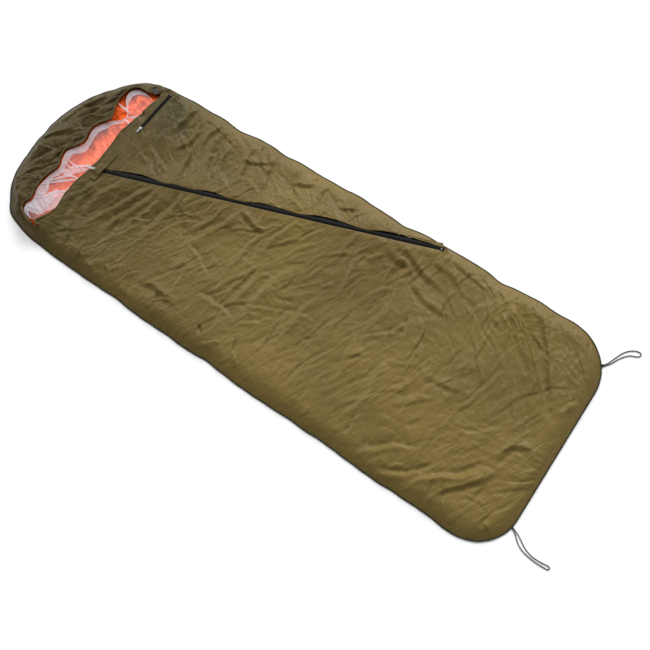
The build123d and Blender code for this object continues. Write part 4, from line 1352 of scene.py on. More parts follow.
LOOP_Z, LOOP_HALF, LOOP_D = 0.0022, 0.0024, 0.0035
LEFT_LOOP, RIGHT_LOOP = (-0.31943, -1.15168), (0.36459, -1.12861)
LEFT_HEADING, RIGHT_HEADING = -110.0, -40.0
SLEEVES = [Sleeve("left", LEFT_LOOP, LEFT_HEADING), Sleeve("right", RIGHT_LOOP, RIGHT_HEADING)]
CORDS = [
    Cord("foot_loop_left", (*LEFT_LOOP, LOOP_Z), LEFT_HEADING,
         ((0, LOOP_HALF), (0.016, LOOP_HALF), (0.038, 0), (0.060, -0.006), (0.082, -0.010), (0.106, -0.0085),
          (0.128, -0.002), (0.148, 0.007), (0.164, 0.017), (0.174, 0.017), (0.174, 0.007), (0.160, 0.001),
          (0.142, -0.007), (0.120, -0.014), (0.096, -0.020), (0.072, -0.022), (0.050, -0.018),
          (0.032, -0.010), (0.014, -LOOP_HALF), (0, -LOOP_HALF)),
         LOOP_D, 0.370, Finish.LOOP_CORD, "object", ("loop_sleeve_left_ribs",)),
    Cord("foot_loop_right", (*RIGHT_LOOP, LOOP_Z), RIGHT_HEADING,
         ((0, LOOP_HALF), (0.016, LOOP_HALF), (0.036, 0.010), (0.058, 0.018), (0.080, 0.025), (0.103, 0.028),
          (0.126, 0.024), (0.142, 0.015), (0.148, 0.003), (0.136, -0.004), (0.121, 0.002), (0.104, 0.011),
          (0.082, 0.0115), (0.058, 0.008), (0.036, 0.001), (0.016, -LOOP_HALF), (0, -LOOP_HALF)),
         LOOP_D, 0.313, Finish.LOOP_CORD, "object", ("loop_sleeve_right_ribs",)),
    Cord("drawcord_tail", (0.33012, 0.90557, 0.0542), -38.0,
         ((0, 0), (0.030, 0), (0.060, -0.0007), (0.080, -0.006)),
         0.003, 0.081, Finish.DRAWCORD, "knot",
         ("drawcord_knot_wound", "cordlock_barrel", "cordlock_plunger")),
]


# ---- the sack's cloth ------------------------------------------------------------------------------
@dataclass
class Shell:
    """The outer cloth: body panel split by the zip, hood, bottom, edge seam and hems."""

    plan: Plan
    rows: int = 424
    left_columns: int = 112
    right_columns: int = 66
    rim_steps: int = 9
    lobes: tuple = ((0.047, 0.0), (0.13, 0.008), (0.185, 0.0115), (0.232, 0.008), (0.285, 0.0002),
                    (0.335, 0.005), (0.40, 0.001), (0.455, 0.008), (0.50, 0.007), (0.535, 0.0), (0.60, 0.0),
                    (0.67, 0.0085), (0.735, 0.007), (0.82, 0.001), (0.90, 0.0105), (0.965, 0.010),
                    (1.025, 0.004), (1.085, 0.0), (1.14, 0.007), (1.22, 0.0125), (1.28, 0.008),
                    (1.34, 0.003), (1.375, 0.0))
    least_gap: float = 0.0070
    pocket_gap: float = 0.0072

    def gap(self, s: Array, right: bool) -> Array:
        """Half the zip's gap: even on the left, in lobes on the right, closed at the foot end.

        Args:
            s: along the zip.
            right: the side.

        Returns:
            The gap from the zip's middle line.
        """
        lobes = np.asarray(self.lobes)
        closing = np.sqrt(np.clip((ZIP_LENGTH + 0.009 - s) / 0.011, 0, 1))
        before, here, after = (np.interp(s + way, *lobes.T) for way in (-0.012, 0.0, 0.012))
        lobe = 0.25 * (before + after + 2 * here)
        small = 0.0006 * (1 + noise(s * 60, s * 0, 3.0 + right))
        wide = self.least_gap + small + (1.4 * lobe if right else 0.10 * lobe)
        return wide * closing * (s < ZIP_LENGTH + 0.006)

    def half_body(self, right: bool) -> tuple[Array, Array]:
        """One side of the body panel as (x, y) grids: rows up the sack, columns from the edge to the zip.

        Args:
            right: the side.

        Returns:
            The grids of x and y.
        """
        rim = RIM * (1 - np.cos(np.linspace(0, np.pi / 2, self.rim_steps)))
        y = np.concatenate([-LENGTH / 2 + rim,
                            np.linspace(-LENGTH / 2 + RIM, POCKET_ZIP_Y - self.pocket_gap, self.rows)[1:],
                            np.linspace(POCKET_ZIP_Y + self.pocket_gap, COLLAR_Y, 13)])
        zip_x = ZIP_HEAD[0] + (COLLAR_Y - y) * ALONG_ZIP[0] / -ALONG_ZIP[1]
        below = 0.15 + (ZIP_FOOT[0] - 0.15) * ease((y + LENGTH / 2) / (ZIP_FOOT[1] + LENGTH / 2))
        inner = np.where(y > ZIP_FOOT[1], zip_x, below)
        outer = self.plan.side(y, 1.0) if right else -self.plan.side(y, -1.0)
        wide = np.abs(inner - outer)[:, None]
        count = self.right_columns if right else self.left_columns
        band = np.minimum(RIM, 0.5 * wide)
        share = np.concatenate([1 - np.cos(np.linspace(0, np.pi / 2, self.rim_steps)),
                                1 + np.linspace(0, 1, count)[1:]])[None]
        reach = np.where(share <= 1, share * band, band + (share - 1) * (wide - band))
        x = outer[:, None] + (-1 if right else 1) * reach
        grid_y = np.broadcast_to(y[:, None], x.shape).copy()
        s, _ = self.plan.zip_place(inner, y)
        open_by = self.gap(s, right) * (y > ZIP_FOOT[1])
        fade = (reach / wide) ** 6
        sign = 1.0 if right else -1.0
        x = x + sign * fade * (open_by * ACROSS_ZIP[0])[:, None]
        grid_y = grid_y + sign * fade * (open_by * ACROSS_ZIP[1])[:, None]
        return x, grid_y + self.plan.collar_shift(x, grid_y)

    def body(self) -> bpy.types.Object:
        """The body panel: two grids that share the line below the zip, with hems rolled at the lips."""
        parts = []
        for right in (False, True):
            x, y = self.half_body(right)
            z = self.plan.height(x, y)
            roll = np.array([(0.0006, -0.0006), (0.0004, -0.0014), (-0.0022, -0.0018)])
            s, _ = self.plan.zip_place(x[:, -1], y[:, -1])
            at_zip = (self.gap(s, right) > 0.001) & (y[:, -1] > ZIP_FOOT[1])
            sign = -1.0 if right else 1.0
            for out, down in roll:
                x = np.column_stack([x, x[:, -1] + sign * out * ACROSS_ZIP[0] * at_zip])
                y = np.column_stack([y, y[:, -1] + sign * out * ACROSS_ZIP[1] * at_zip])
                z = np.column_stack([z, z[:, -1] + 0.5 * down * at_zip])
            faces = grid_faces(*x.shape)
            middle = np.stack([x, y], -1).reshape(-1, 2)[faces].mean(1)
            slot = ((np.abs(middle[:, 1] - POCKET_ZIP_Y) < 0.002) & (middle[:, 0] > POCKET_ZIP_X[0])
                    & (middle[:, 0] < POCKET_ZIP_X[1]))
            parts.append((np.stack([x, y, z], -1).reshape(-1, 3), faces[~slot]))
        parts[1] = (parts[1][0], parts[1][1][:, ::-1])
        points, faces = join(parts)
        return piece("body_cloth", points, faces, Finish.SHELL, stands_for=("body_top_panel",), weld=1e-5)

    def hood(self) -> bpy.types.Object:
        """The hood: rays from the face opening's edge to the outline, close together at the rim."""
        inner = self.plan.hood_line
        dx, dy = inner[:, 0] - HOOD_CENTRE[0], np.maximum(inner[:, 1] - HOOD_CENTRE[1], 0)
        turn = np.arctan2(dy, dx)
        start = np.hypot(dx, dy)
        reach = self.plan.hood_reach(turn)
        band = np.minimum(RIM / np.maximum(reach - start, 1e-3), 0.6)[:, None]
        even = np.linspace(0, 1, 44)[None]
        rim = np.sin(np.linspace(0, np.pi / 2, 11))[None, 1:]
        share = np.concatenate([even * (1 - band), 1 - band + rim * band], axis=1)
        radius = start[:, None] + share * (reach - start)[:, None]
        x = HOOD_CENTRE[0] + radius * np.cos(turn)[:, None]
        y = HOOD_CENTRE[1] + radius * np.sin(turn)[:, None]
        z = self.plan.height(x, y)
        round_up = np.sin(np.pi * np.clip(share * 1.05, 0, 1)) ** 0.8
        puff = 0.010 * round_up * ease(np.sin(turn) / 0.5)[:, None]
        z = np.minimum(z + puff * self.plan.calm(x, y), 0.066)
        mouth = ease(1 - share / 0.10)
        z = z * (1 - mouth) + (0.0495 + 0.0015 * noise(x * 30, y * 30, 2.2)) * mouth
        return piece("hood_cloth", np.stack([x, y, z], -1), grid_faces(*x.shape), Finish.SHELL,
                     stands_for=("hood_panel",), upward=True)

    def bottom(self) -> bpy.types.Object:
        """The bottom panel: one sheet just over the ground, as wide as the outline, with slight waves."""
        y = np.concatenate([-LENGTH / 2 + CORNER_R * (1 - np.cos(np.linspace(0, np.pi / 2, 30))),
                            np.linspace(-LENGTH / 2 + CORNER_R, COLLAR_Y, 120)[1:]])
        across = np.linspace(0, 1, 40)[None]
        x = -self.plan.side(y, -1.0)[:, None] * (1 - across) + self.plan.side(y, 1.0)[:, None] * across
        body = np.broadcast_to(y[:, None], x.shape)
        turn = np.linspace(0, np.pi, 121)[:, None]
        radius = np.linspace(0, 1, 24)[None] * self.plan.hood_reach(turn)
        hx, hy = HOOD_CENTRE[0] + radius * np.cos(turn), HOOD_CENTRE[1] + radius * np.sin(turn)
        parts = []
        for a, b in ((x, body), (hx, hy)):
            z = np.full(a.shape, 0.0004) + 0.0008 * (1 + noise(a * 30, b * 30, 4.0))
            parts.append((np.stack([a, b, z], -1).reshape(-1, 3), grid_faces(*a.shape)))
        points, faces = join(parts)
        return piece("bottom_cloth", points, faces, Finish.SHELL, stands_for=("bottom_panel",), weld=1e-5)

    def seam(self) -> bpy.types.Object:
        """The bound seam round the whole edge: a small roll that waves a little up and down. Its binding is the
        shell's own cloth, coloured darker as painted shade.
        """
        line = self.plan.outline()
        line = spaced(np.vstack([line, line[:1]]), 1500)[:-1]
        s = np.arange(len(line))
        z = 0.0032 + 0.0008 * noise(s * 0.11, s * 0.0, 1.0)
        path = np.column_stack([line, z])
        step = np.roll(path, -1, 0) - np.roll(path, 1, 0)
        side = np.column_stack([-step[:, 1], step[:, 0]]) / np.linalg.norm(step[:, :2], axis=1)[:, None]
        turn = np.linspace(0, 2 * np.pi, 8, endpoint=False)
        flat = -side[:, None] * (0.0030 * np.cos(turn) + 0.0016)[None, :, None] + path[:, None, :2]
        high = path[:, None, 2:] + (0.0022 * np.sin(turn))[None, :, None]
        points = np.concatenate([flat, high], axis=2).reshape(-1, 3)
        faces = grid_faces(len(path) + 1, len(turn), wrap=True) % len(points)
        return piece("edge_seam", points, faces, Finish.BINDING, closed=True)

    def collar(self) -> None:
        """The collar's hem in two lengths, parted by the zip: a doubled strip with a rolled edge."""
        spans = (("collar_hem_left", -0.372, ZIP_HEAD[0] - self.least_gap - 0.002, ("collar_hem",)),
                 ("collar_hem_right", ZIP_HEAD[0] + self.least_gap + 0.004, 0.354, ()))
        for name, low, high, stands_for in spans:
            x = np.linspace(low, high, int((high - low) / 0.003))
            shift = self.plan.collar_shift(x, np.full(len(x), COLLAR_Y))
            y = COLLAR_Y + shift + 0.001 * noise(x * 40, x * 0, 9.0)
            z = np.maximum(self.plan.height(x, y - 0.010), 0.0470) + 0.0004
            z = np.where(x > 0.30, np.minimum(z, 0.0488 - 0.0008 * ease((x - 0.30) / 0.02)), z)
            path = np.column_stack([x, y, z])
            profile = np.array([(-0.0085, -0.0022), (-0.0075, -0.0002), (-0.004, 0.0006), (-0.0015, 0.0008),
                                (0.0, 0.0004), (0.0006, -0.0008), (-0.001, -0.0022), (-0.006, -0.0030)])
            points, faces = capped(*sweep(path, profile), len(profile))
            piece(name, points, faces, Finish.SHELL, stands_for=stands_for, closed=True)

    def hood_hem(self) -> bpy.types.Object:
        """The drawcord's channel: a gathered roll of cloth along the hood's edge, with the cord inside."""
        line = self.plan.hood_line[10:-12]
        s = along(line)
        gather = 1 + 0.14 * noise(s * 75, s * 0, 2.0) + 0.10 * noise(s * 160, s * 0, 5.0)
        z = 0.0532 + 0.0008 * noise(s * 22, s * 0, 6.0)
        path = np.column_stack([line, z])
        ends = ease(np.minimum(s, s[-1] - s) / 0.02) * 0.35 + 0.65
        out = ring(0.0044, 0.0034, 12)
        points, faces = capped(*sweep(path, out, scale=gather * ends), 12)
        return piece("hood_hem_roll", points, faces, Finish.SHELL, stands_for=("hood_hem", "drawcord_in_hem"),
                     closed=True)

    def sewing(self) -> None:
        """Rows of stitches beside the zip, along the collar and round the hood's hem."""
        lines = []
        s = np.linspace(0.012, ZIP_LENGTH - 0.006, 700)
        for sign in (-1.0, 1.0):
            v = sign * (self.gap(s, sign > 0) + 0.0028)
            x, y = (ZIP_HEAD[k] + s * ALONG_ZIP[k] + v * ACROSS_ZIP[k] for k in (0, 1))
            lines.append(np.column_stack([x, y, self.plan.height(x, y) + 0.0002]))
        line = self.plan.hood_line[14:-14]
        outward = line - np.array((HOOD_CENTRE[0], 0.80))
        outward /= np.linalg.norm(outward, axis=1, keepdims=True)
        line = line + 0.0085 * outward
        lines.append(np.column_stack([line, np.full(len(line), 0.0515)]))
        points, faces = join([stitches(one) for one in lines])
        piece("shell_stitches", points, faces, Finish.SHELL)

    def build(self) -> None:
        """Makes every piece of the shell."""
        self.body()
        self.hood()
        self.bottom()
        self.seam()
        self.collar()
        self.hood_hem()
        self.sewing()


@dataclass
class Lining:
    """The orange lining: floor, and the inner faces of the body and the hood."""

    plan: Plan

    def floor(self) -> bpy.types.Object:
        """The floor lining: flat in the body, heaped in soft folds under the face opening."""
        y = np.concatenate([np.linspace(-1.135, 0.74, 60), np.linspace(0.75, 1.125, 110)])
        t = np.linspace(-1, 1, 190)[None]
        body_y = np.clip(y, -1.15, COLLAR_Y)
        narrow = np.minimum(self.plan.side(body_y, -1.0), self.plan.side(body_y, 1.0))
        half = np.where(y < COLLAR_Y, narrow, 0.41) - 0.012
        over = np.clip((y - 0.87) / 0.262, 0, 1)
        half = np.where(y > 0.87, (0.405 - 0.012) * np.sqrt(1 - over ** 2.6) + 0.02, half)
        x = half[:, None] * t
        yy = np.broadcast_to(y[:, None], x.shape)
        dx, dy = x - HOOD_CENTRE[0], yy - HOOD_CENTRE[1]
        out = np.hypot(dx, dy)
        pull = np.where(yy > COLLAR_Y, np.minimum(1, (self.plan.hood_reach(np.arctan2(dy, dx)) - 0.014)
                                                  / np.maximum(out, 1e-3)), 1.0)
        x, yy = HOOD_CENTRE[0] + dx * pull, HOOD_CENTRE[1] + dy * pull
        heap = ease((yy - 0.80) / 0.07) * ease((1.09 - yy) / 0.08) * ease((0.40 - np.abs(x)) / 0.04)
        wave = (0.012 * noise(x * 6 + 2, yy * 9, 3.0) + 0.006 * (ridges(x, yy, 35, 0.12, 0.035, 7.0) - 0.3)
                + 0.004 * (ridges(x, yy, -20, 0.08, 0.022, 8.0) - 0.3)
                + 0.003 * ridges(x, yy, 80, 0.05, 0.016, 5.0))
        lift = 0.026 + 0.014 * bell(np.hypot(x - 0.342, yy - 0.880), 0.04)
        inside = ease((self.plan.edge_distance(x, yy) - 0.012) / 0.085)
        z = 0.0030 + heap * inside * np.clip(lift + wave, 0.002, 0.0375)
        return piece("floor_lining_cloth", np.stack([x, yy, z], -1), grid_faces(*x.shape), Finish.LINING,
                     stands_for=("floor_lining",), upward=True)

    def upper(self) -> None:
        """The linings under the body panel and the hood: the shell's smooth form, set in and lower."""
        y = np.linspace(-1.10, COLLAR_Y - 0.006, 150)
        t = np.linspace(-1, 1, 70)[None]
        x = (self.plan.side(y, -1.0)[:, None] - 0.03) * t
        yy = np.broadcast_to(y[:, None], x.shape)
        fine = self.plan.height(x, yy, folds=False) - 0.0150
        z = np.maximum(np.minimum(fine, 0.0405), 0.0032)
        faces = grid_faces(*x.shape)[:, ::-1]
        piece("top_lining_cloth", np.stack([x, yy, z], -1), faces, Finish.LINING, stands_for=("top_lining",))
        line = self.plan.hood_line[::2]
        dx, dy = line[:, 0] - HOOD_CENTRE[0], np.maximum(line[:, 1] - HOOD_CENTRE[1], 0)
        turn, start = np.arctan2(dy, dx), np.hypot(dx, dy) + 0.004
        reach = self.plan.hood_reach(turn) - 0.024
        radius = start[:, None] + np.linspace(0, 1, 24)[None] * np.maximum(reach - start, 0.004)[:, None]
        x = HOOD_CENTRE[0] + radius * np.cos(turn)[:, None]
        yy = HOOD_CENTRE[1] + radius * np.sin(turn)[:, None]
        z = np.clip(self.plan.height(x, yy, folds=False) - 0.015, 0.0032, 0.042)
        piece("hood_lining_cloth", np.stack([x, yy, z], -1), grid_faces(*x.shape), Finish.LINING,
              stands_for=("hood_lining",))

    def build(self) -> None:
        """Makes the three linings."""
        self.floor()
        self.upper()


@dataclass
class FaceNet:
    """The white mosquito net: gathered along the collar, with a wavy hem and doubled folds."""

    plan: Plan
    hem: tuple = ((-0.362, 0.930), (-0.352, 0.966), (-0.326, 0.979), (-0.296, 0.972), (-0.252, 0.988),
                  (-0.229, 0.990), (-0.185, 0.988), (-0.133, 0.979), (-0.094, 0.995), (-0.059, 1.002),
                  (-0.024, 0.983), (0.010, 0.970), (0.071, 0.983), (0.112, 0.971), (0.147, 0.949),
                  (0.172, 0.925), (0.193, 0.916), (0.213, 0.926), (0.235, 0.950), (0.262, 0.971),
                  (0.292, 0.977), (0.315, 0.962), (0.323, 0.938), (0.321, 0.910), (0.313, 0.884))
    gathers: tuple = (
        ((-0.229, 0.990), (-0.182, 0.945), (-0.150, 0.910), (-0.128, 0.890)),
        ((-0.215, 0.985), (-0.165, 0.950), (-0.138, 0.925), (-0.128, 0.892)),
        ((-0.085, 0.987), (-0.092, 0.938), (-0.075, 0.910), (-0.055, 0.890)),
        ((-0.100, 0.985), (-0.110, 0.950), (-0.088, 0.925), (-0.060, 0.893)),
        ((-0.288, 0.970), (-0.255, 0.941), (-0.219, 0.921), (-0.200, 0.893)),
        ((-0.257, 0.986), (-0.264, 0.962), (-0.235, 0.958), (-0.204, 0.976)),
        ((0.224, 0.983), (0.220, 0.950), (0.215, 0.920)),
        ((0.167, 0.925), (0.180, 0.905), (0.172, 0.885)),
        ((0.193, 0.916), (0.200, 0.900), (0.222, 0.880)),
        ((-0.330, 0.972), (-0.318, 0.940), (-0.325, 0.905)))
    single: int = 6

    def place(self, share: Array, across: Array) -> tuple[Array, Array]:
        """Plan places: from the collar (across 0) to the wavy hem (across 1).

        Args:
            share: of the way from the left end to the right.
            across: of the way from collar to hem.

        Returns:
            The grids of x and y.
        """
        far = spaced(smooth_line(list(self.hem), 400), 300)
        t = np.linspace(0, 1, 300)
        fx, fy = np.interp(share, t, far[:, 0]), np.interp(share, t, far[:, 1])
        nx = np.interp(share, (0, 1), (-0.358, 0.318))
        ny = 0.866 + self.plan.collar_shift(nx, np.full(np.shape(nx), COLLAR_Y))
        return nx + (fx - nx) * across, ny + (fy - ny) * across

    def drape(self, x: Array, y: Array) -> Array:
        """The net's height: it sags between collar and hem, with creases.

        Args:
            x: across the sack.
            y: along the sack.

        Returns:
            The heights.
        """
        sag = np.sin(np.pi * np.clip((y - 0.868) / 0.12, 0, 1))
        z = 0.0462 - 0.005 * sag + 0.0030 * sag * noise(x * 14, y * 10, 5.0)
        return z + 0.0020 * sag * np.maximum(ridges(x, y, 65, 0.08, 0.02, 6.0), -0.5)

    def ribbon(self, line: Array, half: Array | float, lift: float) -> tuple[Array, Array]:
        """A strip of net along a line in plan, a little above the net.

        Args:
            line: n by 2.
            half: half its width.
            lift: its height over the net.

        Returns:
            Points and faces.
        """
        step = np.gradient(line, axis=0)
        side = np.column_stack([-step[:, 1], step[:, 0]]) / np.linalg.norm(step, axis=1)[:, None]
        offset = np.linspace(-1, 1, 5)
        half = np.broadcast_to(half, (len(line),))
        flat = line[:, None] + (offset[None] * half[:, None])[..., None] * side[:, None]
        z = self.drape(flat[..., 0], flat[..., 1]) + lift + 0.0012 * (1 - offset[None] ** 2)
        return np.concatenate([flat, z[..., None]], axis=2).reshape(-1, 3), grid_faces(*z.shape)

    def layer(self, name: str, finish: Finish, shares: tuple, near: Array, far: Array, lift: float,
              stands_for: tuple = (), columns: int = 30) -> bpy.types.Object:
        """A grid of net between two shares of the way from collar to hem.

        Args:
            name: the piece's name.
            finish: its material.
            shares: where along the opening it starts and ends, 0 to 1.
            near: across, at its collar side, for each row.
            far: across, at its hood side, for each row.
            lift: height over the net.
            stands_for: CAD nodes that it replaces.
            columns: of the grid.

        Returns:
            The object.
        """
        share = np.linspace(*shares, len(near))[:, None]
        across = near[:, None] + (far - near)[:, None] * np.linspace(0, 1, columns)[None]
        x, y = self.place(np.broadcast_to(share, across.shape), across)
        tucked = 0.0050 * (1 - ease(across / 0.10))
        points = np.stack([x, y, self.drape(x, y) + lift - tucked], -1).reshape(-1, 3)
        return piece(name, points, grid_faces(*x.shape), finish, stands_for=stands_for, uv=points[:, :2],
                     upward=True)

    def build(self) -> None:
        """The net sheet, its doubled hem band and piped edge, gathers, and the doubled left end."""
        t = np.linspace(0, 1, 260)
        self.layer("net_cloth", Finish.NET, (0, 1), 0 * t, 0 * t + 1, 0.0, ("mosquito_net",), 34)
        inner = 0.80 + 0.07 * noise(t * 14, t * 0, 4.0) + 0.04 * noise(t * 33, t * 0, 6.0)
        self.layer("net_hem_band", Finish.NET_DOUBLED, (0, 1), inner, 0 * t + 1, 0.0012, ("net_hem",), 8)
        end = np.linspace(0, 1, 70)
        ragged = 0.05 * noise(end * 9, end * 0, 8.0)
        self.layer("net_double_end", Finish.NET_DOUBLED, (0.05, 0.27), 0.30 - 0.28 * ease(end / 0.5) + ragged,
                   0.98 - 0.85 * ease((end - 0.25) / 0.75) + ragged, 0.0020)
        self.layer("net_double_tip", Finish.NET_DOUBLED, (0.07, 0.22), 0.42 - 0.2 * end, 0.95 - 0.5 * end,
                   0.0032)
        self.layer("net_double_mid", Finish.NET_DOUBLED, (0.30, 0.42), 0.02 + 0.5 * (1 - end),
                   0.10 + 0.85 * (1 - end), 0.0016)
        edges, strips = [], []
        lines = [spaced(smooth_line(list(self.hem), 400), 320)]
        lines += [spaced(smooth_line(list(g), 60), 50) for g in self.gathers]
        for number, line in enumerate(lines):
            height = self.drape(line[:, 0], line[:, 1]) + (0.002 if number == 0 else 0.0034)
            radius = 0.0012 if number == 0 else 0.0006
            thin = 0.35 + 0.65 * np.sin(np.linspace(0.05, math.pi - 0.05, len(line))) ** 0.5
            if number == self.single + 1:
                radius = 0.0016
            path = np.column_stack([line, height])
            edges.append(capped(*sweep(path, ring(radius, radius, 6), scale=thin), 6))
            if number:
                wide = 0.0012 + 0.0052 * np.sin(np.linspace(0.1, 2.6, len(line))) ** 2
                strips.append(self.ribbon(line, wide, 0.0024))
        points, faces = join(edges)
        piece("net_edge_piping", points, faces, Finish.NET_EDGE, uv=points[:, :2], closed=True)
        points, faces = join(strips)
        piece("net_gathers", points, faces, Finish.NET_DOUBLED, uv=points[:, :2], upward=True)


# ---- zips, tab, pocket ------------------------------------------------------------------------------
@dataclass
class MainZip:
    """The main zip's tapes and coils."""

    coil_pitch: float = 0.0016

    def spot(self, s: Array, v: Array, z: Array) -> Array:
        """Points at s along the zip, v across it and z up."""
        s, v, z = np.broadcast_arrays(s, v, z)
        return np.stack([ZIP_HEAD[0] + s * ALONG_ZIP[0] + v * ACROSS_ZIP[0],
                         ZIP_HEAD[1] + s * ALONG_ZIP[1] + v * ACROSS_ZIP[1], z], -1)

    def build(self) -> None:
        """Tapes run under the cloth's lips; coils are flat helices beside the middle line."""
        s = np.linspace(-0.002, ZIP_LENGTH, 500)[:, None]
        for name, sign, wide in (("left", -1.0, 0.013), ("right", 1.0, 0.0285)):
            v = sign * (0.0008 + (wide - 0.0008) * np.linspace(0, 1, 9)[None])
            z = TAPE_Z - 0.0065 * ease((np.abs(v) - 0.005) / 0.022) + 0.0003 * noise(s * 50, v * 50, 5.0)
            obj = piece(f"zip_tape_{name}_weave", self.spot(s, v, z), grid_faces(500, 9), Finish.TAPE,
                        stands_for=(f"zip_tape_{name}",), upward=True)
            thicken(obj, 0.0007)
            start = self.spot(np.array(0.006), np.array(sign * 0.0012), np.array(0.0495))
            points, faces = coil(start, np.append(ALONG_ZIP, 0.0), np.append(ACROSS_ZIP, 0.0),
                                 (ZIP_LENGTH - 0.012) / self.coil_pitch, self.coil_pitch, 0.0010, 0.00085,
                                 0.00034)
            piece(f"zip_coil_{name}_turns", points, faces, Finish.COIL, stands_for=(f"zip_coil_{name}",),
                  closed=True)


@dataclass
class PocketZip:
    """The chest pocket's zip: tapes, coils, the piped lips beside them and the pocket's bag."""

    plan: Plan
    coil_pitch: float = 0.0014

    def build(self) -> None:
        """Everything runs along X; the lips are rolled strips of shell cloth."""
        low, high = POCKET_ZIP_X
        x = np.linspace(low - 0.002, high + 0.001, 120)
        for name, sign in (("left", -1.0), ("right", 1.0)):
            across = sign * np.linspace(0.0007, 0.0085, 6)[None]
            grid = np.stack(np.broadcast_arrays(x[:, None], POCKET_ZIP_Y + across, TAPE_Z + 0.0002), -1)
            cad = "right" if sign < 0 else "left"
            obj = piece(f"pocket_tape_{name}_weave", grid, grid_faces(120, 6), Finish.TAPE,
                        stands_for=(f"pocket_zip_tape_{cad}",), upward=True)
            thicken(obj, 0.0006)
            points, faces = coil(np.array((low + 0.004, POCKET_ZIP_Y + sign * 0.0010, 0.04935)),
                                 np.array((1.0, 0.0, 0.0)), np.array((0.0, 1.0, 0.0)),
                                 (high - low - 0.008) / self.coil_pitch, self.coil_pitch, 0.0008, 0.0007,
                                 0.0003)
            piece(f"pocket_coil_{name}_turns", points, faces, Finish.COIL,
                  stands_for=(f"pocket_zip_coil_{cad}",), closed=True)
            wave = 0.0008 * noise(x * 30, x * 0, 3.0 + sign)
            path = np.column_stack([x, POCKET_ZIP_Y + sign * (0.0086 + wave), np.full(len(x), 0.0492)])
            points, faces = capped(*sweep(path, ring(0.0016, 0.0011, 8)), 8)
            piece(f"pocket_lip_{name}", points, faces, Finish.SHELL, closed=True)
        x, y = np.meshgrid(np.linspace(0.166, 0.380, 60), np.linspace(0.707, 0.826, 40), indexing="ij")
        edge = np.minimum(np.minimum(x - 0.166, 0.380 - x), y - 0.707)
        z = np.minimum(0.0415 + 0.0015 * ease(edge / 0.01) + 0.0006 * noise(x * 30, y * 30, 4.0),
                       self.plan.height(x, y) - 0.0015)
        piece("pocket_bag_cloth", np.stack([x, y, z], -1), grid_faces(*x.shape), Finish.POCKET,
              stands_for=("pocket_bag",), upward=True)


@dataclass
class Tab:
    """The closure tab over the zip's head end, its sewn end, and hook and loop patches."""

    left: float = -0.102
    hinge: float = 0.033
    y_low: float = 0.830
    y_high: float = 0.861
    cloth: float = 0.0013

    def middle(self, x: Array) -> Array:
        """The tab's height: low at the hinge, an arch over the slider, low again at the hook patch.

        Args:
            x: across the sack.

        Returns:
            The heights of its middle surface.
        """
        up = ease((-0.021 - x) / 0.020)
        down = ease((-0.069 - x) / 0.018)
        return 0.0519 + 0.0064 * up - 0.0052 * down

    def build(self) -> None:
        """The strip with rounded corners at its free end, rolled edges and a row of stitches."""
        x = np.linspace(self.hinge, self.left, 90)[:, None]
        t = np.linspace(-1, 1, 23)[None]
        mid, half = (self.y_low + self.y_high) / 2, (self.y_high - self.y_low) / 2
        corner = 0.006
        cut = np.maximum(corner - (x - self.left), 0)
        wide = half - (corner - np.sqrt(np.maximum(corner ** 2 - cut ** 2, 0)))
        y = mid + wide * t
        z = self.middle(x) + 0.0003 * noise(x * 60, y * 60, 3.0) - 0.0004 * t ** 6
        grid = np.stack([np.broadcast_to(x, y.shape), y, np.broadcast_to(z, y.shape)], -1)
        obj = piece("closure_tab_cloth", grid, grid_faces(*y.shape), Finish.SHELL, "tab", ("closure_tab",),
                    upward=True)
        thicken(obj, self.cloth)
        round_edge = obj.modifiers.new("edge", "BEVEL")
        round_edge.width, round_edge.segments, round_edge.limit_method = 0.0004, 2, "ANGLE"
        rows = []
        for share in (-0.86, 0.86):
            line_x = np.linspace(self.hinge - 0.002, self.left + 0.006, 80)
            line_y = np.full(80, mid + half * share)
            rows.append(np.column_stack([line_x, line_y, self.middle(line_x) + 0.0007]))
        points, faces = join([stitches(row) for row in rows])
        piece("tab_stitches", points, faces, Finish.SHELL, "tab")


@dataclass(frozen=True)
class LockSpring:
    """The cord lock's spring, between the barrel's closed end and the plunger's foot."""

    middle: tuple = (0.349034, 0.890800, 0.0542)
    push: tuple = (0.61566, 0.78801, 0.0)
    back: float = -0.0130
    length: float = 0.0086
    turns: float = 4.0
    radius: float = 0.0019
    wire: float = 0.0003

    def build(self) -> None:
        """A coil of fixed length along the plunger's push, from the barrel's closed end; it rides on no body."""
        push = np.array(self.push)
        start = np.array(self.middle) + self.back * push
        side = np.array((push[1], -push[0], 0.0))
        points, faces = coil(start, push, side, self.turns, self.length / self.turns, self.radius,
                             self.radius, self.wire, 24, 8)
        obj = piece("lock_spring_coil", points, faces, Finish.STEEL, None, ("cordlock_spring",), closed=True)
        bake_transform(obj)


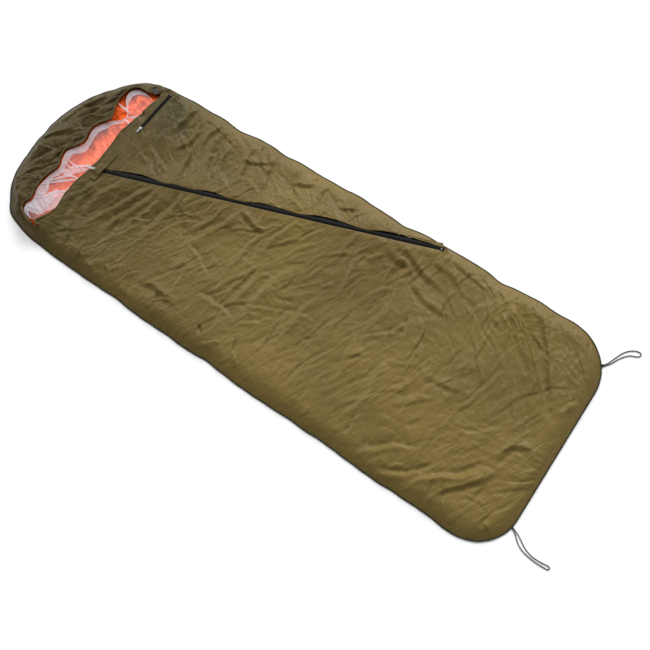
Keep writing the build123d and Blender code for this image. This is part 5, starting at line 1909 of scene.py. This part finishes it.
class Studio:
    """Pale floor, soft light from the sack's right, and the camera."""

    target = Vector((-0.0732, -0.2196, 0.0))
    azimuth, elevation, distance = -55.33, 68.0, 3.4
    lens, sensor = 51.72, 36.0
    suns = (("key", 10.0, 32.0, 2.5, 26.0), ("top", 72.0, 34.0, 1.5, 20.0), ("fill", -60.0, 60.0, 0.35, 50.0))

    def camera(self) -> None:
        """The camera, turned level towards the target."""
        turn, lift = math.radians(self.azimuth), math.radians(self.elevation)
        away = Vector((math.sin(turn) * math.cos(lift), -math.cos(turn) * math.cos(lift), math.sin(lift)))
        data = bpy.data.cameras.new("camera")
        data.lens, data.sensor_width, data.clip_end = self.lens, self.sensor, 50.0
        camera = bpy.data.objects.new("camera", data)
        camera.location = self.target + self.distance * away
        camera.rotation_euler = (-away).to_track_quat("-Z", "Y").to_euler()
        bpy.context.scene.collection.objects.link(camera)
        bpy.context.scene.camera = camera

    def build(self) -> None:
        """Floor, world light, lamps and camera."""
        half = 60.0
        mesh = bpy.data.meshes.new("floor")
        corners = [(-half, -half, 0), (half, -half, 0), (half, half, 0), (-half, half, 0)]
        mesh.from_pydata(corners, [], [(0, 1, 2, 3)])
        floor = bpy.data.objects.new("floor", mesh)
        bpy.context.scene.collection.objects.link(floor)
        g = Graph("pale_floor")
        pale = g.blend(g.noise(3.0), (0.93, 0.93, 0.93, 1), (0.95, 0.95, 0.95, 1))
        mesh.materials.append(g.finish(pale, 0.9, Specular_IOR_Level=0.1))
        world = bpy.data.worlds.new("studio")
        world.use_nodes = True
        world.node_tree.nodes["Background"].inputs["Color"].default_value = (1.0, 1.0, 1.0, 1.0)
        world.node_tree.nodes["Background"].inputs["Strength"].default_value = 0.36
        bpy.context.scene.world = world
        bpy.context.scene.view_settings.view_transform = "Standard"
        for name, turn, lift, strength, soft in self.suns:
            data = bpy.data.lights.new(name, "SUN")
            data.energy, data.angle = strength, math.radians(soft)
            sun = bpy.data.objects.new(name, data)
            sun.rotation_euler = (math.radians(90 - lift), 0.0, math.radians(90 + turn))
            bpy.context.scene.collection.objects.link(sun)
        self.camera()


@dataclass(frozen=True)
class Cut:
    """A sheet as it was cut: its width and length, its share of that rectangle, and what is sewn to it."""

    name: str
    flat: tuple
    rests_on: tuple = ()
    sewn_on: tuple = ()
    share: float | None = None

    def declare(self) -> None:
        """Does nothing: the sheet is passed on nowhere."""


CUTS = [
    Cut("body_cloth", (0.91, 2.05), ("top_lining_cloth",),
        ("collar_hem_left", "collar_hem_right", "shell_stitches", "pocket_lip_left", "pocket_lip_right",
         "zip_tape_left_weave", "zip_tape_right_weave", "pocket_tape_left_weave", "pocket_tape_right_weave",
         "zip_foot_patch", "tab_base_strip", "tab_loop_pile")),
    Cut("hood_cloth", (0.86, 0.30), ("hood_lining_cloth",), ("hood_hem_roll",), 0.52),
    Cut("bottom_cloth", (0.90, 2.30), (), ("edge_seam",)),
    Cut("floor_lining_cloth", (0.87, 2.26), ("bottom_cloth",)),
    Cut("top_lining_cloth", (0.85, 2.0), ("floor_lining_cloth",)),
    Cut("hood_lining_cloth", (0.84, 0.28), ("floor_lining_cloth",), share=0.45),
    Cut("pocket_bag_cloth", (0.119, 0.214), ("top_lining_cloth",)),
    Cut("net_cloth", (0.80, 0.115), ("floor_lining_cloth",),
        ("net_hem_band", "net_double_end", "net_double_tip", "net_double_mid", "net_gathers",
         "net_edge_piping")),
    Cut("closure_tab_cloth", (0.031, 0.137), ("body_cloth",), ("tab_stitches", "tab_hook_pile")),
]


def dress_hardware() -> None:
    """Gives each CAD node its procedural finish, by the name of the slot that it was packed with."""
    by_slot = {finish.value: material for finish, material in MATERIALS.items()}
    for name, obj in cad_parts.items():
        for held in obj.material_slots:
            slot = held.material.name.split(".")[0]
            held.material = by_slot.get(slot, held.material)
            log.info("%s takes %s", name, slot)


def main() -> None:
    """Builds the studio, then the cords, then the sack's pieces from the shell inwards."""
    logging.basicConfig(level=logging.INFO, format="%(name)s: %(message)s")
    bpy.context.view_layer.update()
    Studio().build()
    for part in (*SLEEVES, Knot(), *patches(), *CORDS):
        part.build()
    plan = Plan()
    Shell(plan).build()
    Lining(plan).build()
    FaceNet(plan).build()
    MainZip().build()
    PocketZip(plan).build()
    Tab().build()
    LockSpring().build()
    dress_hardware()
    for cut in CUTS:
        cut.declare()
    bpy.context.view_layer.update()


if __name__ == "__main__":
    main()
